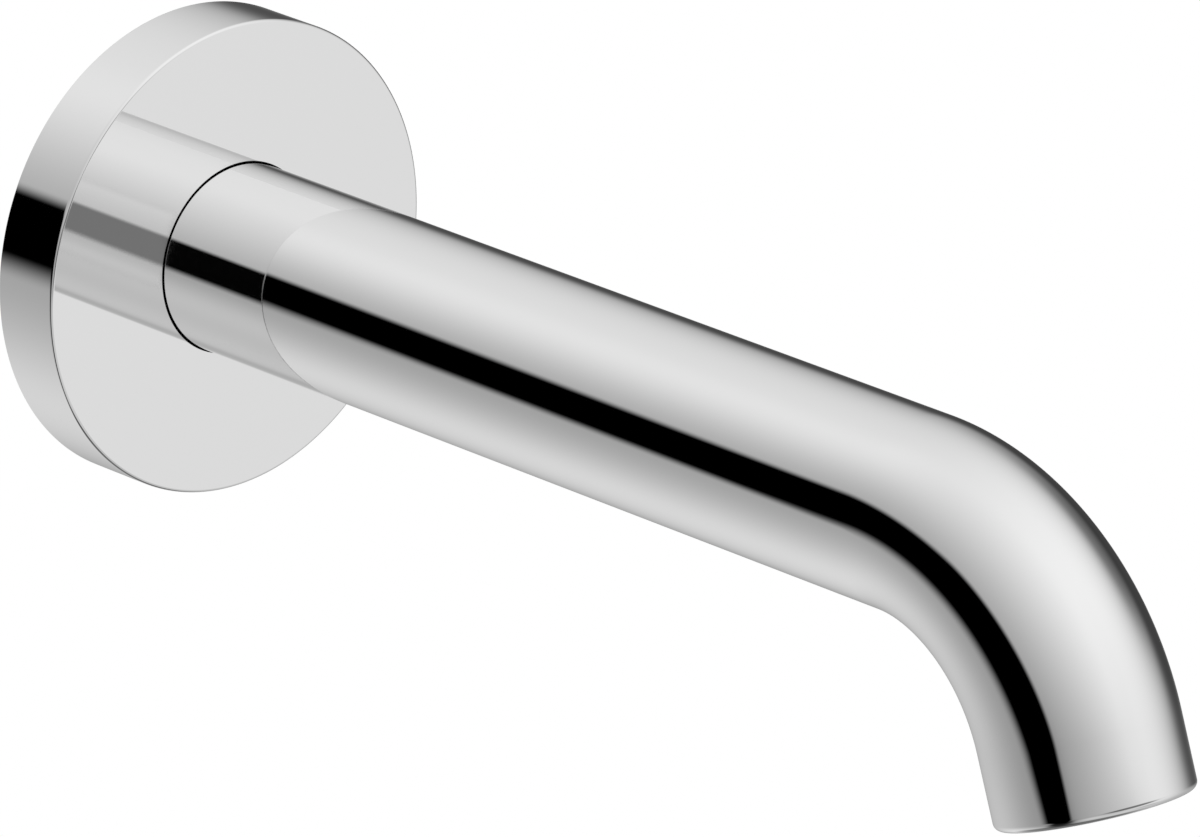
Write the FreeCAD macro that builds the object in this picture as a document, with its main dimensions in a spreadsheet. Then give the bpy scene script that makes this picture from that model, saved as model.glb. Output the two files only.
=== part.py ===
import FreeCAD, Part
import math
import os
import Sketcher

# Bath spout with a round wall rose, in millimetres.
# The wall is the plane Y = 0. The tube leaves it along -Y with its axis on X = 0, Z = 0, and Z is up.
# Distances in front of the wall are named stations, so a station of 7 is the plane Y = -7.

DOCUMENT = FreeCAD.newDocument("bath_spout")
SHEET = DOCUMENT.addObject("Spreadsheet::Sheet", "Sizes")

SIZES = [
    ("tube_diameter", 28.0, "outside of the drawn tube"),
    ("tube_wall", 1.5, "wall of the drawn tube"),
    ("bend_start", 149.7, "wall to the start of the bend, along the tube's axis"),
    ("bend_radius", 34.0, "radius of the bend at the tube's axis"),
    ("bend_angle", 70.0, "degrees that the tube turns down"),
    ("tail_length", 10.6, "straight end of the tube after the bend"),
    ("lip_round", 1.0, "rounding of the outlet's outer edge"),
    ("rose_diameter", 70.0, "outside of the wall rose"),
    ("rose_depth", 11.3, "wall to the rose's face"),
    ("rose_face_thickness", 2.0, "plate behind the rose's face"),
    ("rose_rim_thickness", 3.5, "wall of the rose's rim"),
    ("rose_edge_round", 0.45, "rounding between the face and the rim"),
    ("rose_hole_gap", 0.2, "gap all round between the tube and the rose"),
    ("collar_wall", 3.3, "wall of the collar behind the hole"),
    ("collar_depth", 5.0, "face to the rear end of the collar"),
    ("grip_groove_start", 2.0, "face to the groove for the grip ring"),
    ("grip_groove_width", 2.2, "width of the groove for the grip ring"),
    ("grip_ring_height", 1.6, "squeezed height of the grip ring"),
    ("grip_ring_width", 1.9, "squeezed width of the grip ring"),
    ("seal_lip", 1.5, "wall of the rim outside the wall seal"),
    ("seal_width", 1.9, "width of the wall seal"),
    ("seal_depth", 2.0, "depth of the wall seal"),
    ("thread_diameter", 20.955, "outside of the half-inch pipe thread"),
    ("thread_end", 15.0, "how far the thread goes behind the wall"),
    ("thread_chamfer", 1.2, "chamfer at the thread's end"),
    ("thread_relief", 1.2, "depth of the relief under the thread washer"),
    ("nipple_bore", 11.0, "water way through the nipple"),
    ("shoulder_width", 1.72, "how far the nipple's shoulder stands out from the thread"),
    ("shoulder_thickness", 2.0, "thickness of the nipple's shoulder"),
    ("washer_thickness", 2.0, "thickness of the thread washer"),
    ("washer_sink", 1.0, "how far the thread washer goes behind the wall"),
    ("washer_gap", 0.12, "gap all round between the thread and its washer"),
    ("bush_gap", 0.5, "shoulder to the rear end of the tube and its bush"),
    ("bush_wall", 2.5, "wall of the bush, between the tube and the nipple"),
    ("bush_stop_thickness", 3.0, "thickness of the stop at the bush's front end"),
    ("bush_stop_ledge", 2.0, "how far the stop reaches in from the bush's bore"),
    ("bush_lead", 1.0, "chamfer at the mouth of the bush"),
    ("spigot_gap", 0.1, "gap all round between the nipple's spigot and the bush"),
    ("spigot_end_gap", 1.0, "spigot to the bush's stop"),
    ("spigot_chamfer", 1.0, "chamfer at the spigot's end"),
    ("ring_land", 1.7, "land between the set screw's groove and the rear ring's groove"),
    ("spigot_nose", 4.5, "front ring's middle to the spigot's end"),
    ("o_ring_pitch", 5.0, "front ring's middle to the rear ring's middle"),
    ("o_ring_groove_width", 2.4, "width of each ring's groove"),
    ("o_ring_height", 1.4, "squeezed height of each ring"),
    ("o_ring_width", 1.9, "squeezed width of each ring"),
    ("ring_corner", 0.45, "how far a squeezed ring's corners are cut off"),
    ("key_size", 12.0, "across the flats of the nipple's hexagon"),
    ("key_depth", 10.0, "depth of the nipple's hexagon"),
    ("screw_diameter", 5.0, "outside of the set screw"),
    ("screw_length", 5.0, "length of the set screw"),
    ("screw_inset", 3.5, "bush's rear end to the set screw's axis"),
    ("screw_tip", 2.6, "diameter of the set screw's flat tip"),
    ("screw_tip_gap", 0.05, "tip to the bottom of its groove"),
    ("screw_groove_depth", 1.2, "depth of the nipple's groove for the set screw"),
    ("screw_groove_floor", 2.8, "width of that groove at its bottom"),
    ("screw_chamfer", 0.4, "chamfer at the set screw's socket end"),
    ("socket_size", 2.5, "across the flats of the set screw's socket"),
    ("socket_depth", 2.4, "depth of the set screw's socket"),
    ("lip_recess", 0.8, "outlet's edge to the outlet ring"),
    ("outlet_ring_length", 9.6, "length of the outlet ring"),
    ("outlet_ring_wall", 1.75, "wall of the outlet ring outside its thread"),
    ("jet_thread_length", 7.2, "length of the outlet ring's thread"),
    ("ledge_width", 1.35, "width of the ledge that the jet seal sits on"),
    ("jet_seal_width", 2.0, "width of the jet seal"),
    ("jet_seal_thickness", 1.2, "thickness of the jet seal"),
    ("jet_seal_gap", 0.15, "gap all round between the jet seal and the thread"),
    ("jet_recess", 1.0, "outlet's edge to the jet former's front"),
    ("jet_rim_step", 0.65, "step from the thread down to the castellated rim"),
    ("jet_rim_length", 1.2, "length of the castellated rim"),
    ("jet_wall", 1.65, "wall of the jet former's housing"),
    ("jet_mouth_ledge", 0.9, "how far the mouth reaches in from the housing's bore"),
    ("jet_mouth_length", 1.4, "depth of the housing's mouth"),
    ("jet_play", 0.1, "gap all round each piece inside the housing"),
    ("notch_width", 2.4, "width of a notch in the castellated rim"),
    ("notch_depth", 1.0, "depth of a notch"),
    ("comb_flange", 1.4, "thickness of the honeycomb's flange"),
    ("comb_nose", 1.0, "how far the honeycomb reaches into the mouth"),
    ("comb_pitch", 2.3, "distance between cells of the honeycomb"),
    ("comb_web", 0.45, "wall between cells"),
    ("comb_border", 0.4, "least wall outside the cells"),
    ("screen_thickness", 0.4, "thickness of a screen"),
    ("screen_pitch", 1.9, "distance between a screen's holes"),
    ("screen_bar", 0.45, "bar between a screen's holes"),
    ("screen_border", 0.5, "least border outside a screen's holes"),
    ("plate_thickness", 0.8, "plate of the distributor"),
    ("plate_rim", 0.8, "height of the distributor's rim"),
    ("plate_rim_width", 1.2, "width of the distributor's rim"),
    ("jet_hole", 1.2, "diameter of one jet"),
    ("jet_inset", 2.0, "inside of the distributor's rim to the circle of jets"),
    ("jet_count", 12, "number of jets"),
    ("strainer_flange", 0.6, "thickness of the strainer's flange"),
    ("strainer_wall", 0.7, "wall of the strainer"),
    ("strainer_gap", 0.3, "gap all round between the strainer and the jet seal"),
    ("strainer_side", 2.2, "height of the strainer's straight side"),
    ("strainer_slope", 0.8, "height of the strainer's slope"),
    ("strainer_hole", 1.5, "diameter of a strainer hole"),
    ("strainer_inset", 1.4, "edge of the strainer's top to the outer circle of holes"),
    ("strainer_inner_count", 6, "holes in the inner circle"),
    ("strainer_outer_count", 12, "holes in the outer circle"),
]

for row, (alias, value, meaning) in enumerate(SIZES, start=1):
    SHEET.set(f"A{row}", alias)
    SHEET.set(f"B{row}", str(value))
    SHEET.set(f"C{row}", meaning)
    SHEET.setAlias(f"B{row}", alias)
DOCUMENT.recompute()

# Radii and stations that several pieces share.
TUBE_RADIUS = "Sizes.tube_diameter / 2"
TUBE_BORE_RADIUS = f"({TUBE_RADIUS} - Sizes.tube_wall)"
SHOULDER_BACK = "(Sizes.washer_thickness - Sizes.washer_sink)"
SHOULDER_FRONT = f"({SHOULDER_BACK} + Sizes.shoulder_thickness)"
THREAD_RADIUS = "Sizes.thread_diameter / 2"
SHOULDER_RADIUS = f"({THREAD_RADIUS} + Sizes.shoulder_width)"
BUSH_BACK = f"({SHOULDER_FRONT} + Sizes.bush_gap)"
BUSH_RADIUS = f"({TUBE_BORE_RADIUS} - Sizes.bush_wall)"
SPIGOT_RADIUS = f"({BUSH_RADIUS} - Sizes.spigot_gap)"
SCREW_STATION = f"({BUSH_BACK} + Sizes.screw_inset)"
SCREW_FLOOR_RADIUS = f"({SPIGOT_RADIUS} - Sizes.screw_groove_depth)"
HALF_SCREW_FLOOR = "Sizes.screw_groove_floor / 2"
HALF_SCREW_MOUTH = f"({HALF_SCREW_FLOOR} + Sizes.screw_groove_depth)"
HALF_RING_GROOVE = "Sizes.o_ring_groove_width / 2"
RING_FLOOR_RADIUS = f"({BUSH_RADIUS} - Sizes.o_ring_height)"
REAR_RING = f"({SCREW_STATION} + {HALF_SCREW_MOUTH} + Sizes.ring_land + {HALF_RING_GROOVE})"
FRONT_RING = f"({REAR_RING} + Sizes.o_ring_pitch)"
SPIGOT_FRONT = f"({FRONT_RING} + Sizes.spigot_nose)"
BUSH_STOP = f"({SPIGOT_FRONT} + Sizes.spigot_end_gap)"
BUSH_FRONT = f"({BUSH_STOP} + Sizes.bush_stop_thickness)"
BUSH_STOP_RADIUS = f"({BUSH_RADIUS} - Sizes.bush_stop_ledge)"
ROSE_RADIUS = "Sizes.rose_diameter / 2"
ROSE_HOLE_RADIUS = f"({TUBE_RADIUS} + Sizes.rose_hole_gap)"
GRIP_GROOVE_FRONT = "(Sizes.rose_depth - Sizes.grip_groove_start)"
GRIP_GROOVE_BACK = f"({GRIP_GROOVE_FRONT} - Sizes.grip_groove_width)"
GRIP_GROOVE_RADIUS = f"({TUBE_RADIUS} + Sizes.grip_ring_height)"

# The outlet has its own frame: Z runs out of the tube along its end, and Z = 0 is the tube's edge.
TURN = "Sizes.bend_angle * 1 deg"
OUTLET_Y = f"-(Sizes.bend_start + Sizes.bend_radius * sin({TURN}) + Sizes.tail_length * cos({TURN}))"
OUTLET_Z = f"-(Sizes.bend_radius * (1 - cos({TURN})) + Sizes.tail_length * sin({TURN}))"
OUTLET_RING_BACK = "(Sizes.lip_recess + Sizes.outlet_ring_length)"
LEDGE = "(Sizes.lip_recess + Sizes.jet_thread_length)"
JET_BACK = f"({LEDGE} - Sizes.jet_seal_thickness)"
JET_RADIUS = f"({TUBE_BORE_RADIUS} - Sizes.outlet_ring_wall)"
LEDGE_RADIUS = f"({JET_RADIUS} - Sizes.ledge_width)"
SEAL_OUTSIDE_RADIUS = f"({JET_RADIUS} - Sizes.jet_seal_gap)"
SEAL_BORE_RADIUS = f"({SEAL_OUTSIDE_RADIUS} - Sizes.jet_seal_width)"
JET_BORE_RADIUS = f"({JET_RADIUS} - Sizes.jet_wall)"
JET_MOUTH_RADIUS = f"({JET_BORE_RADIUS} - Sizes.jet_mouth_ledge)"
JET_INSIDE_RADIUS = f"({JET_BORE_RADIUS} - Sizes.jet_play)"
PLATE_RIM_RADIUS = f"({JET_INSIDE_RADIUS} - Sizes.plate_rim_width)"
COMB_SEAT = "(Sizes.jet_recess + Sizes.jet_mouth_length)"
COMB_BACK = f"({COMB_SEAT} + Sizes.comb_flange)"
LOWER_SCREEN_BACK = f"({COMB_BACK} + Sizes.screen_thickness)"
UPPER_SCREEN_BACK = f"({LOWER_SCREEN_BACK} + Sizes.screen_thickness)"
PLATE_FACE = f"({UPPER_SCREEN_BACK} + Sizes.plate_rim)"
PLATE_BACK = f"({PLATE_FACE} + Sizes.plate_thickness)"
STRAINER_BACK = f"({PLATE_BACK} + Sizes.strainer_flange)"
STRAINER_RADIUS = f"({SEAL_BORE_RADIUS} - Sizes.strainer_gap)"
STRAINER_TOP_RADIUS = f"({STRAINER_RADIUS} - 2 * Sizes.strainer_slope)"
STRAINER_OUTER_ROW = f"({STRAINER_TOP_RADIUS} - Sizes.strainer_inset)"
STRAINER_INNER_ROW = f"({STRAINER_OUTER_ROW} / 2)"


def size(alias):
    """The sheet's present value of one size."""
    return float(SHEET.get(alias))


def new_body(label):
    body = DOCUMENT.addObject("PartDesign::Body", label)
    body.Label = label
    DOCUMENT.recompute()
    return body


def origin_item(body, role):
    """A body's own origin plane or axis."""
    return next(item for item in body.Origin.OriginFeatures if item.Role == role)


def new_sketch(body, name, plane, offset=None):
    """An empty sketch on an origin plane, or moved along the plane's normal by an offset."""
    sketch = body.newObject("Sketcher::SketchObject", name)
    sketch.AttachmentSupport = [(origin_item(body, plane), "")]
    sketch.MapMode = "FlatFace"
    if offset:
        sketch.setExpression("AttachmentOffset.Base.z", offset)
    return sketch


def bind_point(sketch, geometry, point, across, up):
    """Ties one point of a sketch to two expressions."""
    for kind, expression in (("DistanceX", across), ("DistanceY", up)):
        constraint = sketch.addConstraint(Sketcher.Constraint(kind, geometry, point, 1.0))
        sketch.setExpression(f"Constraints[{constraint}]", expression)


def draw_outline(sketch, corners):
    """A closed outline of straight lines. Each corner is a pair of expressions."""
    count = len(corners)
    turn = 2 * math.pi / count
    start = [FreeCAD.Vector(math.cos(turn * i), math.sin(turn * i), 0) * 50 for i in range(count)]
    for i in range(count):
        sketch.addGeometry(Part.LineSegment(start[i], start[(i + 1) % count]))
    for i in range(count):
        sketch.addConstraint(Sketcher.Constraint("Coincident", i, 2, (i + 1) % count, 1))
    for i, (across, up) in enumerate(corners):
        bind_point(sketch, i, 1, across, up)


def draw_circle(sketch, across, up, radius):
    circle = sketch.addGeometry(Part.Circle(FreeCAD.Vector(1, 1, 0), FreeCAD.Vector(0, 0, 1), 1))
    bind_point(sketch, circle, 3, across, up)
    constraint = sketch.addConstraint(Sketcher.Constraint("Radius", circle, 1.0))
    sketch.setExpression(f"Constraints[{constraint}]", radius)


def draw_hexagon(sketch, across_flats):
    """A hexagon round the sketch's origin with a corner on each side along X."""
    corner = f"{across_flats} / sqrt(3)"
    half = f"{across_flats} / sqrt(12)"
    flat = f"{across_flats} / 2"
    draw_outline(sketch, [
        (corner, "0"), (half, flat), (f"-{half}", flat),
        (f"-{corner}", "0"), (f"-{half}", f"-{flat}"), (half, f"-{flat}"),
    ])


def turn_on_tube_axis(body, corners):
    """Turns an outline of (station, radius) corners round the tube's axis."""
    sketch = new_sketch(body, "outline", "YZ_Plane")
    draw_outline(sketch, [(f"-({station})", radius) for station, radius in corners])
    solid = body.newObject("PartDesign::Revolution", "turned")
    solid.Profile = sketch
    solid.ReferenceAxis = (sketch, ["H_Axis"])
    solid.Angle = 360
    DOCUMENT.recompute()
    return solid


def turn_on_own_axis(body, corners):
    """Turns an outline of (radius, height) corners round the body's own Z axis."""
    sketch = new_sketch(body, "outline", "YZ_Plane")
    draw_outline(sketch, corners)
    solid = body.newObject("PartDesign::Revolution", "turned")
    solid.Profile = sketch
    solid.ReferenceAxis = (sketch, ["V_Axis"])
    solid.Angle = 360
    DOCUMENT.recompute()
    return solid


def cut(body, name, sketch, depth):
    """Cuts a sketch into a body against the sketch's normal, and makes sure that it took something away."""
    before = body.Shape.Volume
    pocket = body.newObject("PartDesign::Pocket", name)
    pocket.Profile = sketch
    pocket.setExpression("Length", depth)
    DOCUMENT.recompute()
    if not body.Shape.Volume < before:
        raise ValueError(f"{body.Label}: {name} cuts nothing")
    return pocket


def repeat_round(body, name, feature, count, angle=360.0):
    """Repeats a feature round the body's own Z axis."""
    pattern = body.newObject("PartDesign::PolarPattern", name)
    pattern.Originals = [feature]
    pattern.Axis = (origin_item(body, "Z_Axis"), [""])
    pattern.Angle = angle
    pattern.setExpression("Occurrences", count)
    body.Tip = pattern
    DOCUMENT.recompute()
    return pattern


def round_edge(body, name, base, edge, radius):
    rounding = body.newObject("PartDesign::Fillet", name)
    rounding.Base = (base, [edge])
    rounding.setExpression("Radius", radius)
    DOCUMENT.recompute()
    return rounding


def circle_edge(shape, centre, radius):
    """The name of the edge that is a full circle of this centre and radius."""
    for number, edge in enumerate(shape.Edges, start=1):
        middle = edge.CenterOfMass
        reach = (edge.Vertexes[0].Point - centre).Length
        if middle.distanceToPoint(centre) < 0.01 and abs(reach - radius) < 0.01:
            return f"Edge{number}"
    raise ValueError(f"no circle of radius {radius} round {centre}")


def place_at_outlet(piece):
    """Moves a piece from the outlet's frame to the end of the tube."""
    piece.Placement = FreeCAD.Placement(FreeCAD.Vector(), FreeCAD.Rotation(FreeCAD.Vector(1, 0, 0), 90))
    piece.setExpression("Placement.Base.y", OUTLET_Y)
    piece.setExpression("Placement.Base.z", OUTLET_Z)
    piece.setExpression("Placement.Rotation.Angle", "90 + Sizes.bend_angle")
    DOCUMENT.recompute()


def cut_screw_hole(body):
    """The hole for the set screw, straight down from the tube's axis."""
    sketch = new_sketch(body, "screw_hole_circle", "XY_Plane")
    draw_circle(sketch, "0", f"-{SCREW_STATION}", "Sizes.screw_diameter / 2")
    cut(body, "screw_hole", sketch, f"{TUBE_RADIUS} + Sizes.screw_diameter")


def make_tube():
    """Drawn tube: one sweep of a ring along a straight, a bend and a short straight end."""
    body = new_body("spout_tube")
    path = new_sketch(body, "centre_line", "YZ_Plane")
    turn = math.radians(size("bend_angle"))
    first = FreeCAD.Vector(-size("shoulder_thickness"), 0, 0)
    second = FreeCAD.Vector(-size("bend_start"), 0, 0)
    middle = second - FreeCAD.Vector(0, size("bend_radius"), 0)
    bend_circle = Part.Circle(middle, FreeCAD.Vector(0, 0, 1), size("bend_radius"))
    third = bend_circle.value(math.pi / 2 + turn)
    fourth = third + FreeCAD.Vector(-math.cos(turn), -math.sin(turn), 0) * size("tail_length")
    straight = path.addGeometry(Part.LineSegment(first, second))
    bend = path.addGeometry(Part.ArcOfCircle(bend_circle, math.pi / 2, math.pi / 2 + turn))
    tail = path.addGeometry(Part.LineSegment(third, fourth))
    path.addConstraint(Sketcher.Constraint("Tangent", straight, 2, bend, 1))
    path.addConstraint(Sketcher.Constraint("Tangent", bend, 2, tail, 1))
    bind_point(path, straight, 1, f"-{BUSH_BACK}", "0")
    bind_point(path, straight, 2, "-Sizes.bend_start", "0")
    radius = path.addConstraint(Sketcher.Constraint("Radius", bend, size("bend_radius")))
    path.setExpression(f"Constraints[{radius}]", "Sizes.bend_radius")
    angle = path.addConstraint(Sketcher.Constraint("Angle", bend, turn))
    path.setExpression(f"Constraints[{angle}]", TURN)
    length = path.addConstraint(Sketcher.Constraint("Distance", tail, size("tail_length")))
    path.setExpression(f"Constraints[{length}]", "Sizes.tail_length")

    section = new_sketch(body, "tube_section", "XZ_Plane", BUSH_BACK)
    draw_circle(section, "0", "0", TUBE_RADIUS)
    draw_circle(section, "0", "0", TUBE_BORE_RADIUS)
    DOCUMENT.recompute()
    pipe = body.newObject("PartDesign::AdditivePipe", "drawn_tube")
    pipe.Profile = section
    pipe.Spine = path
    DOCUMENT.recompute()

    outlet = FreeCAD.Vector(0, fourth.x, fourth.y)
    edge = circle_edge(pipe.Shape, outlet, size("tube_diameter") / 2)
    round_edge(body, "rounded_lip", pipe, edge, "Sizes.lip_round")
    cut_screw_hole(body)
    return body


def make_inlet_bush():
    """Turned bush brazed into the wall end of the tube: a mouth, a bore and a stop."""
    body = new_body("inlet_bush")
    turn_on_tube_axis(body, [
        (BUSH_BACK, f"{BUSH_RADIUS} + Sizes.bush_lead"),
        (BUSH_BACK, TUBE_BORE_RADIUS),
        (BUSH_FRONT, TUBE_BORE_RADIUS),
        (BUSH_FRONT, BUSH_STOP_RADIUS),
        (BUSH_STOP, BUSH_STOP_RADIUS),
        (BUSH_STOP, BUSH_RADIUS),
        (f"{BUSH_BACK} + Sizes.bush_lead", BUSH_RADIUS),
    ])
    cut_screw_hole(body)
    return body


def make_nipple():
    """Turned nipple: pipe thread, shoulder, spigot with three grooves, and a hexagon socket at its end."""
    def groove(middle, half_mouth, half_floor, floor_radius):
        return [
            (f"{middle} - {half_mouth}", SPIGOT_RADIUS),
            (f"{middle} - {half_floor}", floor_radius),
            (f"{middle} + {half_floor}", floor_radius),
            (f"{middle} + {half_mouth}", SPIGOT_RADIUS),
        ]

    body = new_body("connection_nipple")
    corners = [
        ("-Sizes.thread_end", "Sizes.nipple_bore / 2"),
        ("-Sizes.thread_end", f"{THREAD_RADIUS} - Sizes.thread_chamfer"),
        ("Sizes.thread_chamfer - Sizes.thread_end", THREAD_RADIUS),
        ("-Sizes.washer_sink", THREAD_RADIUS),
        ("-Sizes.washer_sink", f"{THREAD_RADIUS} - Sizes.thread_relief"),
        (SHOULDER_BACK, f"{THREAD_RADIUS} - Sizes.thread_relief"),
        (SHOULDER_BACK, SHOULDER_RADIUS),
        (SHOULDER_FRONT, SHOULDER_RADIUS),
        (SHOULDER_FRONT, SPIGOT_RADIUS),
    ]
    corners += groove(SCREW_STATION, HALF_SCREW_MOUTH, HALF_SCREW_FLOOR, SCREW_FLOOR_RADIUS)
    corners += groove(REAR_RING, HALF_RING_GROOVE, HALF_RING_GROOVE, RING_FLOOR_RADIUS)
    corners += groove(FRONT_RING, HALF_RING_GROOVE, HALF_RING_GROOVE, RING_FLOOR_RADIUS)
    corners += [
        (f"{SPIGOT_FRONT} - Sizes.spigot_chamfer", SPIGOT_RADIUS),
        (SPIGOT_FRONT, f"{SPIGOT_RADIUS} - Sizes.spigot_chamfer"),
        (SPIGOT_FRONT, "Sizes.nipple_bore / 2"),
    ]
    turn_on_tube_axis(body, corners)
    hexagon = new_sketch(body, "key_outline", "XZ_Plane", SPIGOT_FRONT)
    draw_hexagon(hexagon, "Sizes.key_size")
    cut(body, "key_socket", hexagon, "Sizes.key_depth")
    return body


def make_squeezed_ring(label, middle, inside, outside, width):
    """Rubber ring squeezed between two round walls: flat where it touches, with cut-off corners."""
    body = new_body(label)
    corner = "Sizes.ring_corner"
    back = f"{middle} - {width} / 2"
    front = f"{middle} + {width} / 2"
    turn_on_tube_axis(body, [
        (back, f"{inside} + {corner}"), (f"{back} + {corner}", inside),
        (f"{front} - {corner}", inside), (front, f"{inside} + {corner}"),
        (front, f"{outside} - {corner}"), (f"{front} - {corner}", outside),
        (f"{back} + {corner}", outside), (back, f"{outside} - {corner}"),
    ])
    return body


def make_flat_ring(label, back, front, inside, outside):
    body = new_body(label)
    turn_on_tube_axis(body, [(back, inside), (back, outside), (front, outside), (front, inside)])
    return body


def make_escutcheon():
    """Turned wall rose: face plate, rim with a rebate for its seal, and a collar with a groove."""
    body = new_body("escutcheon")
    rim_inside = f"{ROSE_RADIUS} - Sizes.rose_rim_thickness"
    rebate = f"{ROSE_RADIUS} - Sizes.seal_lip"
    collar_outside = f"{ROSE_HOLE_RADIUS} + Sizes.collar_wall"
    collar_back = "Sizes.rose_depth - Sizes.collar_depth"
    plate_back = "Sizes.rose_depth - Sizes.rose_face_thickness"
    solid = turn_on_tube_axis(body, [
        ("0", ROSE_RADIUS), ("Sizes.rose_depth", ROSE_RADIUS), ("Sizes.rose_depth", ROSE_HOLE_RADIUS),
        (GRIP_GROOVE_FRONT, ROSE_HOLE_RADIUS), (GRIP_GROOVE_FRONT, GRIP_GROOVE_RADIUS),
        (GRIP_GROOVE_BACK, GRIP_GROOVE_RADIUS), (GRIP_GROOVE_BACK, ROSE_HOLE_RADIUS),
        (collar_back, ROSE_HOLE_RADIUS), (collar_back, collar_outside),
        (plate_back, collar_outside), (plate_back, rim_inside),
        ("Sizes.seal_depth", rim_inside), ("Sizes.seal_depth", rebate), ("0", rebate),
    ])
    front = FreeCAD.Vector(0, -size("rose_depth"), 0)
    edge = circle_edge(solid.Shape, front, size("rose_diameter") / 2)
    round_edge(body, "rounded_edge", solid, edge, "Sizes.rose_edge_round")
    return body


def make_set_screw():
    """Set screw under the tube. Its own Z axis points down, away from the tube's axis."""
    body = new_body("set_screw")
    tip = f"({SCREW_FLOOR_RADIUS} + Sizes.screw_tip_gap)"
    top = f"({tip} + Sizes.screw_length)"
    radius = "Sizes.screw_diameter / 2"
    slope = f"({radius} - Sizes.screw_tip / 2)"
    turn_on_own_axis(body, [
        ("0", tip), ("Sizes.screw_tip / 2", tip), (radius, f"{tip} + {slope}"),
        (radius, f"{top} - Sizes.screw_chamfer"), (f"{radius} - Sizes.screw_chamfer", top), ("0", top),
    ])
    hexagon = new_sketch(body, "socket_outline", "XY_Plane", top)
    draw_hexagon(hexagon, "Sizes.socket_size")
    cut(body, "socket", hexagon, "Sizes.socket_depth")
    body.Placement = FreeCAD.Placement(FreeCAD.Vector(), FreeCAD.Rotation(FreeCAD.Vector(1, 0, 0), 180))
    body.setExpression("Placement.Base.y", f"-{SCREW_STATION}")
    return body


def make_outlet_ring():
    """Turned ring brazed into the outlet: thread for the jet former and a ledge for its seal."""
    body = new_body("outlet_ring")
    turn_on_own_axis(body, [
        (TUBE_BORE_RADIUS, "-Sizes.lip_recess"), (TUBE_BORE_RADIUS, f"-{OUTLET_RING_BACK}"),
        (LEDGE_RADIUS, f"-{OUTLET_RING_BACK}"), (LEDGE_RADIUS, f"-{LEDGE}"),
        (JET_RADIUS, f"-{LEDGE}"), (JET_RADIUS, "-Sizes.lip_recess"),
    ])
    place_at_outlet(body)
    return body


def make_jet_housing():
    """Moulded sleeve with a thread outside and a castellated rim for its key."""
    body = new_body("jet_housing")
    rim_back = "(Sizes.jet_recess + Sizes.jet_rim_length)"
    rim_radius = f"{JET_RADIUS} - Sizes.jet_rim_step"
    turn_on_own_axis(body, [
        (JET_MOUTH_RADIUS, "-Sizes.jet_recess"), (rim_radius, "-Sizes.jet_recess"),
        (rim_radius, f"-{rim_back}"), (JET_RADIUS, f"-{rim_back}"),
        (JET_RADIUS, f"-{JET_BACK}"), (JET_BORE_RADIUS, f"-{JET_BACK}"),
        (JET_BORE_RADIUS, f"-{COMB_SEAT}"), (JET_MOUTH_RADIUS, f"-{COMB_SEAT}"),
    ])
    sketch = new_sketch(body, "notch_outline", "XY_Plane", "-Sizes.jet_recess")
    long_side = JET_RADIUS
    short_side = "Sizes.notch_width / 2"
    draw_outline(sketch, [
        (long_side, short_side), (f"-{long_side}", short_side),
        (f"-{long_side}", f"-{short_side}"), (long_side, f"-{short_side}"),
    ])
    notch = cut(body, "notch_pair", sketch, "Sizes.notch_depth")
    repeat_round(body, "notches", notch, "3", angle=120.0)
    place_at_outlet(body)
    return body


def make_jet_seal():
    body = new_body("jet_seal")
    turn_on_own_axis(body, [
        (SEAL_BORE_RADIUS, f"-{JET_BACK}"), (SEAL_OUTSIDE_RADIUS, f"-{JET_BACK}"),
        (SEAL_OUTSIDE_RADIUS, f"-{LEDGE}"), (SEAL_BORE_RADIUS, f"-{LEDGE}"),
    ])
    place_at_outlet(body)
    return body


def cut_hole_circle(body, name, sketch_height, hole, row_radius, count, depth):
    """A ring of round holes in the body's own Z direction."""
    sketch = new_sketch(body, f"{name}_circle", "XY_Plane", sketch_height)
    draw_circle(sketch, row_radius, "0", f"{hole} / 2")
    first = cut(body, name, sketch, depth)
    return repeat_round(body, f"{name}_ring", first, count)


def make_jet_distributor():
    """Moulded plate with a ring of small jets, on a rim that rests on the screens."""
    body = new_body("jet_distributor")
    turn_on_own_axis(body, [
        ("0", f"-{PLATE_BACK}"), (JET_INSIDE_RADIUS, f"-{PLATE_BACK}"),
        (JET_INSIDE_RADIUS, f"-{UPPER_SCREEN_BACK}"), (PLATE_RIM_RADIUS, f"-{UPPER_SCREEN_BACK}"),
        (PLATE_RIM_RADIUS, f"-{PLATE_FACE}"), ("0", f"-{PLATE_FACE}"),
    ])
    cut_hole_circle(body, "jet", f"-{PLATE_FACE}", "Sizes.jet_hole", f"{PLATE_RIM_RADIUS} - Sizes.jet_inset",
                    "Sizes.jet_count", "Sizes.plate_thickness")
    place_at_outlet(body)
    return body


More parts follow.
